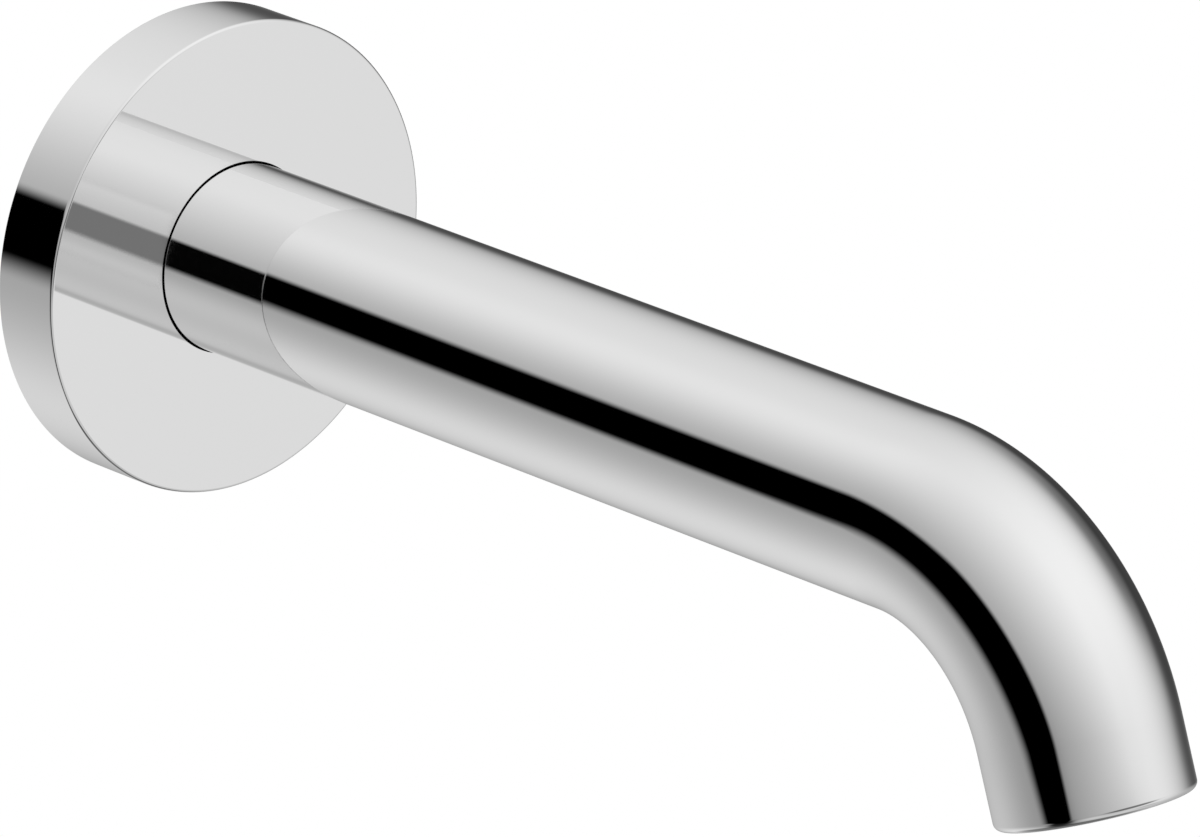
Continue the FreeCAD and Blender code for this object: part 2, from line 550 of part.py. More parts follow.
def make_jet_strainer():
    """Moulded cap that keeps grit out of the jets: flange, straight side, slope and perforated top."""
    body = new_body("jet_strainer")
    wall = "Sizes.strainer_wall"
    shoulder = f"({STRAINER_BACK} + Sizes.strainer_side)"
    top = f"({shoulder} + Sizes.strainer_slope)"
    turn_on_own_axis(body, [
        (f"{STRAINER_RADIUS} - {wall}", f"-{PLATE_BACK}"), (JET_INSIDE_RADIUS, f"-{PLATE_BACK}"),
        (JET_INSIDE_RADIUS, f"-{STRAINER_BACK}"), (STRAINER_RADIUS, f"-{STRAINER_BACK}"),
        (STRAINER_RADIUS, f"-{shoulder}"), (STRAINER_TOP_RADIUS, f"-{top}"), ("0", f"-{top}"),
        ("0", f"{wall} - {top}"), (f"{STRAINER_TOP_RADIUS} - {wall} / 2", f"{wall} - {top}"),
        (f"{STRAINER_RADIUS} - {wall}", f"{wall} / 2 - {shoulder}"),
    ])
    centre = new_sketch(body, "centre_circle", "XY_Plane", f"{wall} - {top}")
    draw_circle(centre, "0", "0", "Sizes.strainer_hole / 2")
    cut(body, "centre_hole", centre, f"2 * {wall}")
    cut_hole_circle(body, "inner_hole", f"{wall} - {top}", "Sizes.strainer_hole",
                    STRAINER_INNER_ROW, "Sizes.strainer_inner_count", f"2 * {wall}")
    cut_hole_circle(body, "outer_hole", f"{wall} - {top}", "Sizes.strainer_hole",
                    STRAINER_OUTER_ROW, "Sizes.strainer_outer_count", f"2 * {wall}")
    place_at_outlet(body)
    return body


def jet_bore_radius():
    """Inside of the jet former's housing, read from the sheet."""
    tube_bore_radius = size("tube_diameter") / 2 - size("tube_wall")
    return tube_bore_radius - size("outlet_ring_wall") - size("jet_wall")


def jet_stack():
    """Heights of the jet former's layers in the outlet's frame, read from the sheet."""
    comb_seat = size("jet_recess") + size("jet_mouth_length")
    comb_back = comb_seat + size("comb_flange")
    lower_back = comb_back + size("screen_thickness")
    return comb_seat, comb_back, lower_back, lower_back + size("screen_thickness")


def grid_centres(pitch, reach, staggered):
    """Centres of a square or a honeycomb grid that lie within reach of the middle."""
    step = pitch * math.sqrt(3) / 2 if staggered else pitch
    rows = int(reach / step) + 1
    centres = []
    for row in range(-rows, rows + 1):
        shift = pitch / 2 if staggered and row % 2 else 0.0
        for column in range(-rows - 1, rows + 2):
            x, y = column * pitch + shift, row * step
            if math.hypot(x, y) <= reach:
                centres.append((x, y))
    return centres


def prism(corner_count, corner_radius, first_angle, centre, bottom, height):
    """A straight prism on a regular polygon."""
    corners = []
    for i in range(corner_count + 1):
        angle = math.radians(first_angle + 360 * i / corner_count)
        x = centre[0] + corner_radius * math.cos(angle)
        y = centre[1] + corner_radius * math.sin(angle)
        corners.append(FreeCAD.Vector(x, y, bottom))
    return Part.Face(Part.makePolygon(corners)).extrude(FreeCAD.Vector(0, 0, height))


def make_grille(label, shape):
    """A solid with a grid of holes. It has no history, so it takes its shape straight from the sheet's sizes."""
    piece = DOCUMENT.addObject("Part::Feature", label)
    piece.Label = label
    piece.Shape = shape
    place_at_outlet(piece)
    return piece


def make_jet_honeycomb():
    """Moulded honeycomb: a flange held by the housing, and a nose that fills its mouth."""
    comb_seat, comb_back, _, _ = jet_stack()
    nose_radius = jet_bore_radius() - size("jet_mouth_ledge") - size("jet_play")
    flange = Part.makeCylinder(
        jet_bore_radius() - size("jet_play"), size("comb_flange"), FreeCAD.Vector(0, 0, -comb_back))
    nose = Part.makeCylinder(nose_radius, size("comb_nose"), FreeCAD.Vector(0, 0, -comb_seat))
    pitch = size("comb_pitch")
    cell_radius = (pitch - size("comb_web")) / math.sqrt(3)
    reach = nose_radius - size("comb_border") - cell_radius
    height = size("comb_flange") + size("comb_nose")
    cells = [
        prism(6, cell_radius, 90, centre, -comb_back, height)
        for centre in grid_centres(pitch, reach, staggered=True)
    ]
    return make_grille("jet_honeycomb", flange.fuse(nose).cut(Part.makeCompound(cells)).removeSplitter())


def make_screen(label, back, turn):
    """Fine metal screen: a disc with a grid of square holes, turned against the other screen."""
    radius = jet_bore_radius() - size("jet_play")
    thickness = size("screen_thickness")
    disc = Part.makeCylinder(radius, thickness, FreeCAD.Vector(0, 0, -back))
    half_diagonal = (size("screen_pitch") - size("screen_bar")) / math.sqrt(2)
    reach = radius - size("screen_border") - half_diagonal
    holes = [
        prism(4, half_diagonal, 45, centre, -back, thickness)
        for centre in grid_centres(size("screen_pitch"), reach, staggered=False)
    ]
    shape = disc.cut(Part.makeCompound(holes))
    shape.rotate(FreeCAD.Vector(), FreeCAD.Vector(0, 0, 1), turn)
    return make_grille(label, shape)


def make_screens():
    _, _, lower_back, upper_back = jet_stack()
    return [make_screen("jet_screen_lower", lower_back, 0), make_screen("jet_screen_upper", upper_back, 45)]


def make_parts():
    """Every separate piece, from the wall to the outlet."""
    grip_middle = f"({GRIP_GROOVE_FRONT} + {GRIP_GROOVE_BACK}) / 2"
    seal_outside = f"{ROSE_RADIUS} - Sizes.seal_lip"
    return [
        make_nipple(),
        make_flat_ring("thread_washer", "-Sizes.washer_sink", SHOULDER_BACK,
                       f"{THREAD_RADIUS} + Sizes.washer_gap", SHOULDER_RADIUS),
        make_squeezed_ring("nipple_o_ring_rear", REAR_RING, RING_FLOOR_RADIUS, BUSH_RADIUS,
                           "Sizes.o_ring_width"),
        make_squeezed_ring("nipple_o_ring_front", FRONT_RING, RING_FLOOR_RADIUS, BUSH_RADIUS,
                           "Sizes.o_ring_width"),
        make_inlet_bush(),
        make_set_screw(),
        make_tube(),
        make_escutcheon(),
        make_squeezed_ring("escutcheon_o_ring", grip_middle, TUBE_RADIUS, GRIP_GROOVE_RADIUS,
                           "Sizes.grip_ring_width"),
        make_flat_ring("wall_seal", "0", "Sizes.seal_depth",
                       f"{seal_outside} - Sizes.seal_width", seal_outside),
        make_outlet_ring(),
        make_jet_seal(),
        make_jet_housing(),
        make_jet_strainer(),
        make_jet_distributor(),
        *make_screens(),
        make_jet_honeycomb(),
    ]


def check_document():
    """Stops when any object of the document failed to compute."""
    for item in DOCUMENT.Objects:
        if "Invalid" in item.State or "Error" in item.State:
            raise ValueError(f"{item.Label} failed to compute")


def export_parts(parts):
    os.makedirs("parts", exist_ok=True)
    for piece in parts:
        shape = piece.Shape
        if shape.isNull() or not shape.isValid() or len(shape.Solids) != 1:
            raise ValueError(f"{piece.Label} is not one valid solid")
        shape.exportStep(os.path.join("parts", f"{piece.Label}.step"))
        print(piece.Label, round(shape.Volume, 1), shape.BoundBox)


PARTS = make_parts()
DOCUMENT.recompute()
check_document()
export_parts(PARTS)
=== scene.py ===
import bpy
import bmesh
import math
from mathutils import Matrix, Vector


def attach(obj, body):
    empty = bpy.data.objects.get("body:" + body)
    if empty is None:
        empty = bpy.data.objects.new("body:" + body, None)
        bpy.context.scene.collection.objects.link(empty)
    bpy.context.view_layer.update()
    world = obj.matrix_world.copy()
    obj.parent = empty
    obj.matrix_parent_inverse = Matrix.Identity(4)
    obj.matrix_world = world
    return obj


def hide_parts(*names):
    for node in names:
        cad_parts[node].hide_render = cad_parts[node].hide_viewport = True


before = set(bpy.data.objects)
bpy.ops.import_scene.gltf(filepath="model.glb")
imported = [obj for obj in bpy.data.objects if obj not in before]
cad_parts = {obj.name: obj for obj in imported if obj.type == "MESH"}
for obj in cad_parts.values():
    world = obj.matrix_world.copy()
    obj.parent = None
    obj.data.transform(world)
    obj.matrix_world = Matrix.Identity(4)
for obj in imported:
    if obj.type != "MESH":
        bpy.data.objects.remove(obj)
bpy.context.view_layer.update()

# The studio: a soft grey tent lit from several sides, a black flag on the left of the camera, and dark
# openings. A mirror finish has no look of its own, so these are what the chrome shows. Behind the object,
# to the camera, everything is plain white.


def add(tree, kind, inputs=(), output=0, **settings):
    """
    Adds a node and gives one of its outputs, or with None all of them. Inputs are a list in order, or go by
    name or number. Each is a value or the socket that feeds it.
    """
    node = tree.nodes.new(kind)
    for name, value in settings.items():
        setattr(node, name, value)
    for socket, value in inputs.items() if isinstance(inputs, dict) else enumerate(inputs):
        if isinstance(value, bpy.types.NodeSocket):
            tree.links.new(value, node.inputs[socket])
        else:
            node.inputs[socket].default_value = value
    return node.outputs if output is None or not node.outputs else node.outputs[output]


def towards(azimuth, elevation):
    """The direction of a point of the studio, in degrees: azimuth 0 is +Y and 90 is +X."""
    a, e = math.radians(azimuth), math.radians(elevation)
    return Vector((math.sin(a) * math.cos(e), math.cos(a) * math.cos(e), math.sin(e)))


TENT_GREY = 0.128
TENT_RISE = 0.428
# Each light has an azimuth, an elevation, a tightness and a strength.
SOFT_LIGHTS = [
    (137.9, 20.3, 1.01, 0.648),
    (16.8, 15.4, 8.97, 0.375),
    (-11.0, -66.8, 2.60, 0.978),
    (-20.2, 44.4, 10.5, 0.194),
    (150.6, -28.0, 5.35, 0.329),
    (-138.0, -31.0, 20.0, 0.31),
    (-168.0, -48.0, 12.0, 0.20),
]
# Each opening has an azimuth, an elevation, a half width, a half height, a depth and a steepness of its
# edge. The third is the dark room behind the camera, and the last two are for the outlet's rounded lip.
DARK_OPENINGS = [
    (81.5, 16.2, 0.405, 0.239, 0.743, 1.495),
    (64.7, -3.8, 0.575, 0.289, 0.881, 2.943),
    (181.0, -5.0, 0.50, 0.20, 0.75, 5.0),
    (152.0, -35.0, 0.20, 0.10, 0.33, 2.0),
    (-104.0, -33.0, 0.23, 0.47, 0.97, 3.5),
    (50.0, -43.0, 0.17, 0.28, 0.45, 2.0),
]
# The oval would show on the opposite side too, so it fades out between these as the view turns away.
SIDE_NONE, SIDE_FULL = -0.1, 0.25

world = bpy.data.worlds.new("studio")
bpy.context.scene.world = world
world.use_nodes = True
tree = world.node_tree
tree.nodes.clear()
look = add(tree, "ShaderNodeTexCoord", output="Generated")
up = add(tree, "ShaderNodeSeparateXYZ", [look], output="Z")
light = add(tree, "ShaderNodeMath", [up, TENT_RISE, TENT_GREY], operation="MULTIPLY_ADD")
for azimuth, elevation, tightness, strength in SOFT_LIGHTS:
    facing = add(tree, "ShaderNodeVectorMath", [look, towards(azimuth, elevation)],
                 operation="DOT_PRODUCT", output="Value")
    fall = add(tree, "ShaderNodeMath", [facing, tightness, -tightness], operation="MULTIPLY_ADD")
    glow = add(tree, "ShaderNodeMath", [fall], operation="EXPONENT")
    light = add(tree, "ShaderNodeMath", [glow, strength, light], operation="MULTIPLY_ADD")

for azimuth, elevation, half_width, half_height, depth, steepness in DARK_OPENINGS:
    side = towards(azimuth + 90, 0) / half_width
    across = add(tree, "ShaderNodeVectorMath", [look, side], operation="DOT_PRODUCT", output="Value")
    middle = math.sin(math.radians(elevation))
    rise = add(tree, "ShaderNodeMath", [up, 1 / half_height, -middle / half_height], operation="MULTIPLY_ADD")
    across_2 = add(tree, "ShaderNodeMath", [across, across], operation="MULTIPLY")
    spread = add(tree, "ShaderNodeMath", [rise, rise, across_2], operation="MULTIPLY_ADD")
    steep = add(tree, "ShaderNodeMath", [spread, steepness], operation="POWER")
    wide = add(tree, "ShaderNodeMath", [steep, 1.0], operation="ADD")
    ahead = add(tree, "ShaderNodeVectorMath", [look, towards(azimuth, 0)],
                operation="DOT_PRODUCT", output="Value")
    in_front = add(tree, "ShaderNodeMapRange", {
        "Value": ahead, "From Min": SIDE_NONE, "From Max": SIDE_FULL}, interpolation_type="SMOOTHSTEP")
    hole = add(tree, "ShaderNodeMath", [in_front, wide], operation="DIVIDE")
    kept = add(tree, "ShaderNodeMath", [hole, -depth, 1.0], operation="MULTIPLY_ADD")
    light = add(tree, "ShaderNodeMath", [light, kept], operation="MULTIPLY")

# The flag is a plane of its own. Places on it are tangents of the angle from its middle: u along it, towards
# the wall, and v up. Its upper and lower edges bow, and each has a small step up near the wall.
FLAG_AZIMUTH = -72.0
FLAG_HORIZON = 0.05
FLAG_MIDDLE = -0.400
FLAG_HALF_HEIGHT = 0.697
FLAG_STRAIGHT = 0.010
FLAG_END = 0.808
FLAG_CORNER = 1.544
FLAG_SOFTNESS = 0.144
FLAG_START = 0.62
FLAG_START_SOFTNESS = 0.1
FLAG_FOOT = -0.142
FLAG_FOOT_SOFTNESS = 0.170
FLAG_FOOT_BELOW = 0.75
# Where the step starts and is full, its height, the middle of the bow, and the bow.
FLAG_TOP_SHAPE = (0.49, 0.54, 0.020, 0.545, -0.157)
FLAG_FOOT_SHAPE = (0.465, 0.512, 0.090, 0.188, 0.790)
ahead = add(tree, "ShaderNodeVectorMath", [look, towards(FLAG_AZIMUTH, 0)],
            operation="DOT_PRODUCT", output="Value")
across = add(tree, "ShaderNodeVectorMath", [look, towards(FLAG_AZIMUTH + 90, 0)],
             operation="DOT_PRODUCT", output="Value")
reach = add(tree, "ShaderNodeMath", [ahead, FLAG_HORIZON], operation="MAXIMUM")
u = add(tree, "ShaderNodeMath", [across, reach], operation="DIVIDE")
v = add(tree, "ShaderNodeMath", [up, reach], operation="DIVIDE")
edges = []
for start, full, height, middle, bow in (FLAG_TOP_SHAPE, FLAG_FOOT_SHAPE):
    step = add(tree, "ShaderNodeMapRange", {
        "Value": u, "From Min": start, "From Max": full, "To Max": height})
    lowered = add(tree, "ShaderNodeMath", [v, step], operation="SUBTRACT")
    away = add(tree, "ShaderNodeMath", [u, -middle], operation="ADD")
    away_2 = add(tree, "ShaderNodeMath", [away, away], operation="MULTIPLY")
    edges.append(add(tree, "ShaderNodeMath", [away_2, bow, lowered], operation="MULTIPLY_ADD"))
top, foot = edges
top = add(tree, "ShaderNodeMath", [
    top, 1 / FLAG_HALF_HEIGHT, -FLAG_MIDDLE / FLAG_HALF_HEIGHT], operation="MULTIPLY_ADD")
end = add(tree, "ShaderNodeMath", [FLAG_STRAIGHT, u], operation="SUBTRACT")
end = add(tree, "ShaderNodeMath", [end, 1 / FLAG_END], operation="MULTIPLY")
outward = 0.0
for side in (end, top):
    past = add(tree, "ShaderNodeMath", [side, 0.0], operation="MAXIMUM")
    past = add(tree, "ShaderNodeMath", [past, FLAG_CORNER], operation="POWER")
    outward = add(tree, "ShaderNodeMath", [past, outward], operation="ADD")
outward = add(tree, "ShaderNodeMath", [outward, 1 / FLAG_CORNER], operation="POWER")
clear = add(tree, "ShaderNodeMapRange", {
    "Value": outward, "From Min": 1 - FLAG_SOFTNESS / 2, "From Max": 1 + FLAG_SOFTNESS / 2},
    interpolation_type="SMOOTHSTEP")
below = add(tree, "ShaderNodeMapRange", {
    "Value": foot, "From Min": FLAG_FOOT - FLAG_FOOT_BELOW * FLAG_FOOT_SOFTNESS,
    "From Max": FLAG_FOOT + (1 - FLAG_FOOT_BELOW) * FLAG_FOOT_SOFTNESS, "To Min": 1.0, "To Max": 0.0},
    interpolation_type="SMOOTHSTEP")
before = add(tree, "ShaderNodeMapRange", {
    "Value": u, "From Min": FLAG_START, "From Max": FLAG_START + FLAG_START_SOFTNESS},
    interpolation_type="SMOOTHSTEP")
behind = add(tree, "ShaderNodeMath", [ahead, FLAG_HORIZON], operation="LESS_THAN")
for outside in (below, before, behind):
    clear = add(tree, "ShaderNodeMath", [clear, outside], operation="MAXIMUM")
light = add(tree, "ShaderNodeMath", [light, clear], operation="MULTIPLY")

# Straight below it is dark.
NADIR_SHADE = 0.28
NADIR_FULL, NADIR_NONE = -0.93, -0.80
nadir = add(tree, "ShaderNodeMapRange", {
    "Value": up, "From Min": NADIR_FULL, "From Max": NADIR_NONE, "To Min": NADIR_SHADE, "To Max": 1.0},
    interpolation_type="SMOOTHSTEP")
light = add(tree, "ShaderNodeMath", [light, nadir], operation="MULTIPLY")

# Rubber, plastic and the floor scatter light, and get it from a plain soft dome, a little stronger above.
DOME_LEVEL = 0.92
DOME_RISE = 0.22
dome = add(tree, "ShaderNodeMath", [up, DOME_RISE, DOME_LEVEL], operation="MULTIPLY_ADD")
ray = add(tree, "ShaderNodeLightPath", output=None)
seen = add(tree, "ShaderNodeMix", {0: ray["Is Diffuse Ray"], 2: light, 3: dome})
seen = add(tree, "ShaderNodeMix", {0: ray["Is Camera Ray"], 2: seen, 3: 1.0})
background = add(tree, "ShaderNodeBackground", {"Color": seen})
add(tree, "ShaderNodeOutputWorld", {"Surface": background})

# The camera is at the photograph's viewing angle, about 1.6 m away, with a long lens.


def in_scene(name, data):
    """An object with this data, in the scene."""
    thing = bpy.data.objects.new(name, data)
    bpy.context.scene.collection.objects.link(thing)
    return thing


CAMERA_PLACE = (-1.030083, -1.175208, 0.539043)
CAMERA_TURNS = (("Z", -43.12446), ("Y", -0.86955), ("X", 70.08480))
CAMERA_LENS = 344.403
camera = bpy.data.cameras.new("camera")
camera.sensor_width = 36.0
camera.lens = CAMERA_LENS
camera.clip_start, camera.clip_end = 0.05, 20.0
viewpoint = in_scene("camera", camera)
stand = Matrix.Translation(CAMERA_PLACE)
for axis, degrees in CAMERA_TURNS:
    stand = stand @ Matrix.Rotation(math.radians(degrees), 4, axis)
viewpoint.matrix_world = stand
bpy.context.scene.camera = viewpoint
bpy.context.scene.view_settings.view_transform = "Standard"

# Drawn brass tube, chromed. It starts as a straight tube with a rounded lip, and is then bent once.
# The bend is a rule of three lengths, so Geometry Nodes make it, as the bending machine does.
MM = 0.001


def soften(corners, steps=5, support=0.03):
    """
    Rounds the corners of a closed outline: each is station, radius, rounding, all in millimetres. A fourth
    number marks a hexagon, as in turned.
    """
    rows = []
    count = len(corners)
    for i, (station, radius, rounding, *flats) in enumerate(corners):
        here = Vector((station, radius))
        to_last = Vector(corners[i - 1][:2]) - here
        to_next = Vector(corners[(i + 1) % count][:2]) - here
        if rounding == 0:
            rows.append((station, radius, *flats))
            continue
        a, b = to_last.normalized(), to_next.normalized()
        half = a.angle(b) / 2
        reach = rounding / math.tan(half)
        middle = here + (a + b).normalized() * rounding / math.sin(half)
        if to_last.length > 2 * (reach + support):
            rows.append(tuple(here + a * (reach + support)))
        start, end = here + a * reach - middle, here + b * reach - middle
        turn = start.angle_signed(end)
        for k in range(steps + 1):
            rows.append(tuple(middle + Matrix.Rotation(-turn * k / steps, 2) @ start))
        if to_next.length > 2 * (reach + support):
            rows.append(tuple(here + b * (reach + support)))
    return rows


def to_piece(work, name, sharp):
    """Makes an object of a bmesh: smooth, but crisp where an edge turns by more than so many degrees."""
    bmesh.ops.recalc_face_normals(work, faces=work.faces)
    mesh = bpy.data.meshes.new(name)
    work.to_mesh(mesh)
    work.free()
    mesh.shade_smooth()
    mesh.set_sharp_from_angle(angle=math.radians(sharp))
    return in_scene(name, mesh)


def turned(name, rows, segments=96):
    """
    A closed outline of station, radius rows turned round the tube's axis. Stations run out of the wall.
    A row with a third number is a hexagon, and its radius is that of the flats.
    """
    work = bmesh.new()
    rings = []
    for station, radius, *flats in rows:
        if radius < 1e-6:
            rings.append([work.verts.new((0, -station * MM, 0))])
            continue
        ring = []
        for k in range(segments):
            angle = 2 * math.pi * k / segments
            reach = radius * MM
            if flats:
                reach /= math.cos(angle % math.radians(60) - math.radians(30))
            ring.append(work.verts.new((reach * math.sin(angle), -station * MM, reach * math.cos(angle))))
        rings.append(ring)
    for a, b in zip(rings, rings[1:] + rings[:1]):
        for k in range(segments):
            m = (k + 1) % segments
            corners = [a[k % len(a)], a[m % len(a)], b[m % len(b)], b[k % len(b)]]
            corners = [c for i, c in enumerate(corners) if c not in corners[:i]]
            if len(corners) > 2:
                work.faces.new(corners)
    return to_piece(work, name, sharp=40)


def keep_result(piece, modifier):
    """Makes what a modifier gives the plain mesh of the piece."""
    graph = bpy.context.evaluated_depsgraph_get()
    mesh = bpy.data.meshes.new_from_object(
        piece.evaluated_get(graph), preserve_all_data_layers=True, depsgraph=graph)
    piece.modifiers.remove(modifier)
    piece.data = mesh
    mesh.name = piece.name


def bake(piece, tree, **sizes):
    """Runs a Geometry Nodes tree on a piece and keeps the result as its plain mesh."""
    modifier = piece.modifiers.new("shape", "NODES")
    modifier.node_group = tree
    for item in tree.interface.items_tree:
        if item.item_type == "SOCKET" and item.in_out == "INPUT" and item.name in sizes:
            modifier[item.identifier] = sizes[item.name]
    keep_result(piece, modifier)


def new_tree(name, **sizes):
    """A Geometry Nodes tree with one named input for each size. A size of None is a material."""
    tree = bpy.data.node_groups.new(name, "GeometryNodeTree")
    tree.interface.new_socket("Geometry", in_out="INPUT", socket_type="NodeSocketGeometry")
    for size, value in sizes.items():
        kind = "NodeSocketMaterial" if value is None else "NodeSocketFloat"
        socket = tree.interface.new_socket(size, in_out="INPUT", socket_type=kind)
        if value is not None:
            socket.default_value = value
    tree.interface.new_socket("Geometry", in_out="OUTPUT", socket_type="NodeSocketGeometry")
    return tree


def close_tree(tree, geometry, material):
    """Ends a Geometry Nodes tree with real geometry in its material."""
    real = add(tree, "GeometryNodeRealizeInstances", {"Geometry": geometry})
    finished = add(tree, "GeometryNodeSetMaterial", {"Geometry": real, "Material": material})
    add(tree, "NodeGroupOutput", {"Geometry": finished})


def linear(code):
    """An sRGB hex colour as linear red, green and blue, with full alpha."""
    parts = [int(code[i:i + 2], 16) / 255 for i in (1, 3, 5)]
    return tuple(c / 12.92 if c <= 0.04045 else ((c + 0.055) / 1.055) ** 2.4 for c in parts) + (1.0,)


def new_material(name):
    """An empty node material and its tree."""
    material = bpy.data.materials.new(name)
    material.use_nodes = True
    material.node_tree.nodes.clear()
    return material, material.node_tree


# Bright chrome plate over buffed brass: a clean mirror, with only the faintest buffing haze.
chrome, tree = new_material("bright_chrome_plate_buffed")
place = add(tree, "ShaderNodeTexCoord", output="Object")
buffing = add(tree, "ShaderNodeTexNoise", {"Vector": place, "Scale": 90.0, "Detail": 3.0})
gloss = add(tree, "ShaderNodeMapRange", {"Value": buffing, "To Min": 0.015, "To Max": 0.035})
shader = add(tree, "ShaderNodeBsdfPrincipled", {
    "Base Color": linear("#F1F1F1"), "Metallic": 1.0, "Roughness": gloss})
add(tree, "ShaderNodeOutputMaterial", [shader])

TUBE_RADIUS = 14.0
TUBE_WALL = 1.5
BORE_RADIUS = TUBE_RADIUS - TUBE_WALL
TUBE_REAR = 3.5
BEND_START = 149.7
BEND_RADIUS = 34.0
BEND_ANGLE = math.radians(70.0)
BEND_END = BEND_START + BEND_RADIUS * BEND_ANGLE
TAIL = 10.6
TUBE_LENGTH = BEND_END + TAIL
LIP_ROUND = 1.05
LIP_STEPS = 12
EDGE_BREAK = 0.1
BORE_BREAK = 0.08
BEND_ROWS = 180
STRAIGHT_ROWS = (20.0, 60.0, 100.0, 140.0)
SCREW_STATION = 7.0
SCREW_HOLE = 2.6

BEND = {"Bend_Start": BEND_START * MM, "Bend_Radius": BEND_RADIUS * MM, "Bend_Angle": BEND_ANGLE}
bend = new_tree("bend_the_tube", **BEND, Finish=None)
sizes = add(bend, "NodeGroupInput", output=None)
place = add(bend, "GeometryNodeInputPosition")
parts = add(bend, "ShaderNodeSeparateXYZ", [place], output=None)
along = add(bend, "ShaderNodeMath", [parts["Y"], -1.0], operation="MULTIPLY")
past = add(bend, "ShaderNodeMath", [along, sizes["Bend_Start"]], operation="SUBTRACT")
turn = add(bend, "ShaderNodeMath", [past, sizes["Bend_Radius"]], operation="DIVIDE")
turn = add(bend, "ShaderNodeClamp", {"Value": turn, "Min": 0.0, "Max": sizes["Bend_Angle"]})
arc = add(bend, "ShaderNodeMath", [sizes["Bend_Radius"], turn], operation="MULTIPLY")
straight = add(bend, "ShaderNodeMath", [along, sizes["Bend_Start"]], operation="MINIMUM")
rest = add(bend, "ShaderNodeMath", [along, straight], operation="SUBTRACT")
tail = add(bend, "ShaderNodeMath", [rest, arc], operation="SUBTRACT")
sine = add(bend, "ShaderNodeMath", [turn], operation="SINE")
cosine = add(bend, "ShaderNodeMath", [turn], operation="COSINE")
# Out of the wall: straight + (radius + height) sin + tail cos. Up: (radius + height) cos - radius - tail sin.
swing = add(bend, "ShaderNodeMath", [sizes["Bend_Radius"], parts["Z"]], operation="ADD")
out = add(bend, "ShaderNodeMath", [swing, sine, straight], operation="MULTIPLY_ADD")
out = add(bend, "ShaderNodeMath", [tail, cosine, out], operation="MULTIPLY_ADD")
back = add(bend, "ShaderNodeMath", [out, -1.0], operation="MULTIPLY")
high = add(bend, "ShaderNodeMath", [swing, cosine], operation="MULTIPLY")
high = add(bend, "ShaderNodeMath", [high, sizes["Bend_Radius"]], operation="SUBTRACT")
drop = add(bend, "ShaderNodeMath", [tail, sine], operation="MULTIPLY")
high = add(bend, "ShaderNodeMath", [high, drop], operation="SUBTRACT")
bent = add(bend, "ShaderNodeCombineXYZ", {"X": parts["X"], "Y": back, "Z": high})
moved = add(bend, "GeometryNodeSetPosition", {"Geometry": sizes["Geometry"], "Position": bent})
close_tree(bend, moved, sizes["Finish"])

bend_rows = [BEND_START + (BEND_END - BEND_START) * k / BEND_ROWS for k in range(BEND_ROWS + 1)]
rear_rows = (TUBE_REAR + 2 * EDGE_BREAK, 10.0, 11.3)
rows = [(TUBE_REAR, BORE_RADIUS + EDGE_BREAK), (TUBE_REAR, TUBE_RADIUS - EDGE_BREAK)]
rows += [(TUBE_REAR + EDGE_BREAK, TUBE_RADIUS)]
rows += [(station, TUBE_RADIUS) for station in (*rear_rows, *STRAIGHT_ROWS, *bend_rows)]
for k in range(LIP_STEPS + 1):
    a = math.pi / 2 * k / LIP_STEPS
    rows.append((TUBE_LENGTH - LIP_ROUND * (1 - math.sin(a)), TUBE_RADIUS - LIP_ROUND * (1 - math.cos(a))))
rows += [(TUBE_LENGTH, BORE_RADIUS + BORE_BREAK),
         (TUBE_LENGTH - BORE_BREAK / 4, BORE_RADIUS + BORE_BREAK / 4),
         (TUBE_LENGTH - BORE_BREAK, BORE_RADIUS)]
rows += [(station, BORE_RADIUS) for station in (*reversed(bend_rows), *reversed(STRAIGHT_ROWS))]
rows += [(TUBE_REAR + EDGE_BREAK, BORE_RADIUS)]
tube = turned("spout_tube_drawn", rows, segments=192)
bake(tube, bend, **BEND, Finish=chrome)


def cut_away(piece, corners, faces):
    """Cuts a solid, given by its corners in millimetres and its faces, out of a piece."""
    mesh = bpy.data.meshes.new("cutter")
    mesh.from_pydata([Vector(c) * MM for c in corners], [], faces)
    cutter = in_scene("cutter", mesh)
    modifier = piece.modifiers.new("cut", "BOOLEAN")
    modifier.operation = "DIFFERENCE"
    modifier.solver = "EXACT"
    modifier.object = cutter
    keep_result(piece, modifier)
    bpy.data.objects.remove(cutter)


def prism(outline, low, high):
    """Corners and faces of an upright prism."""
    count = len(outline)
    corners = [(x, y, low) for x, y in outline] + [(x, y, high) for x, y in outline]
    sides = [(k, (k + 1) % count, count + (k + 1) % count, count + k) for k in range(count)]
    return corners, sides + [tuple(range(count - 1, -1, -1)), tuple(range(count, 2 * count))]


def circle(radius, across=0.0, out=0.0, count=48):
    """Points evenly round a circle."""
    turns = [2 * math.pi * k / count for k in range(count)]
    return [(across + radius * math.cos(a), out + radius * math.sin(a)) for a in turns]


def finish(piece, node, material=None, place=None):
    """Puts a finished piece in the place of its solid, after a move to its own place."""
    if place:
        piece.data.transform(place)
    if material:
        piece.data.materials.clear()
        piece.data.materials.append(material)
    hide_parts(node)
    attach(piece, "root")


cut_away(tube, *prism(circle(SCREW_HOLE, out=-SCREW_STATION), low=-16.0, high=-9.0))
finish(tube, "spout_tube")

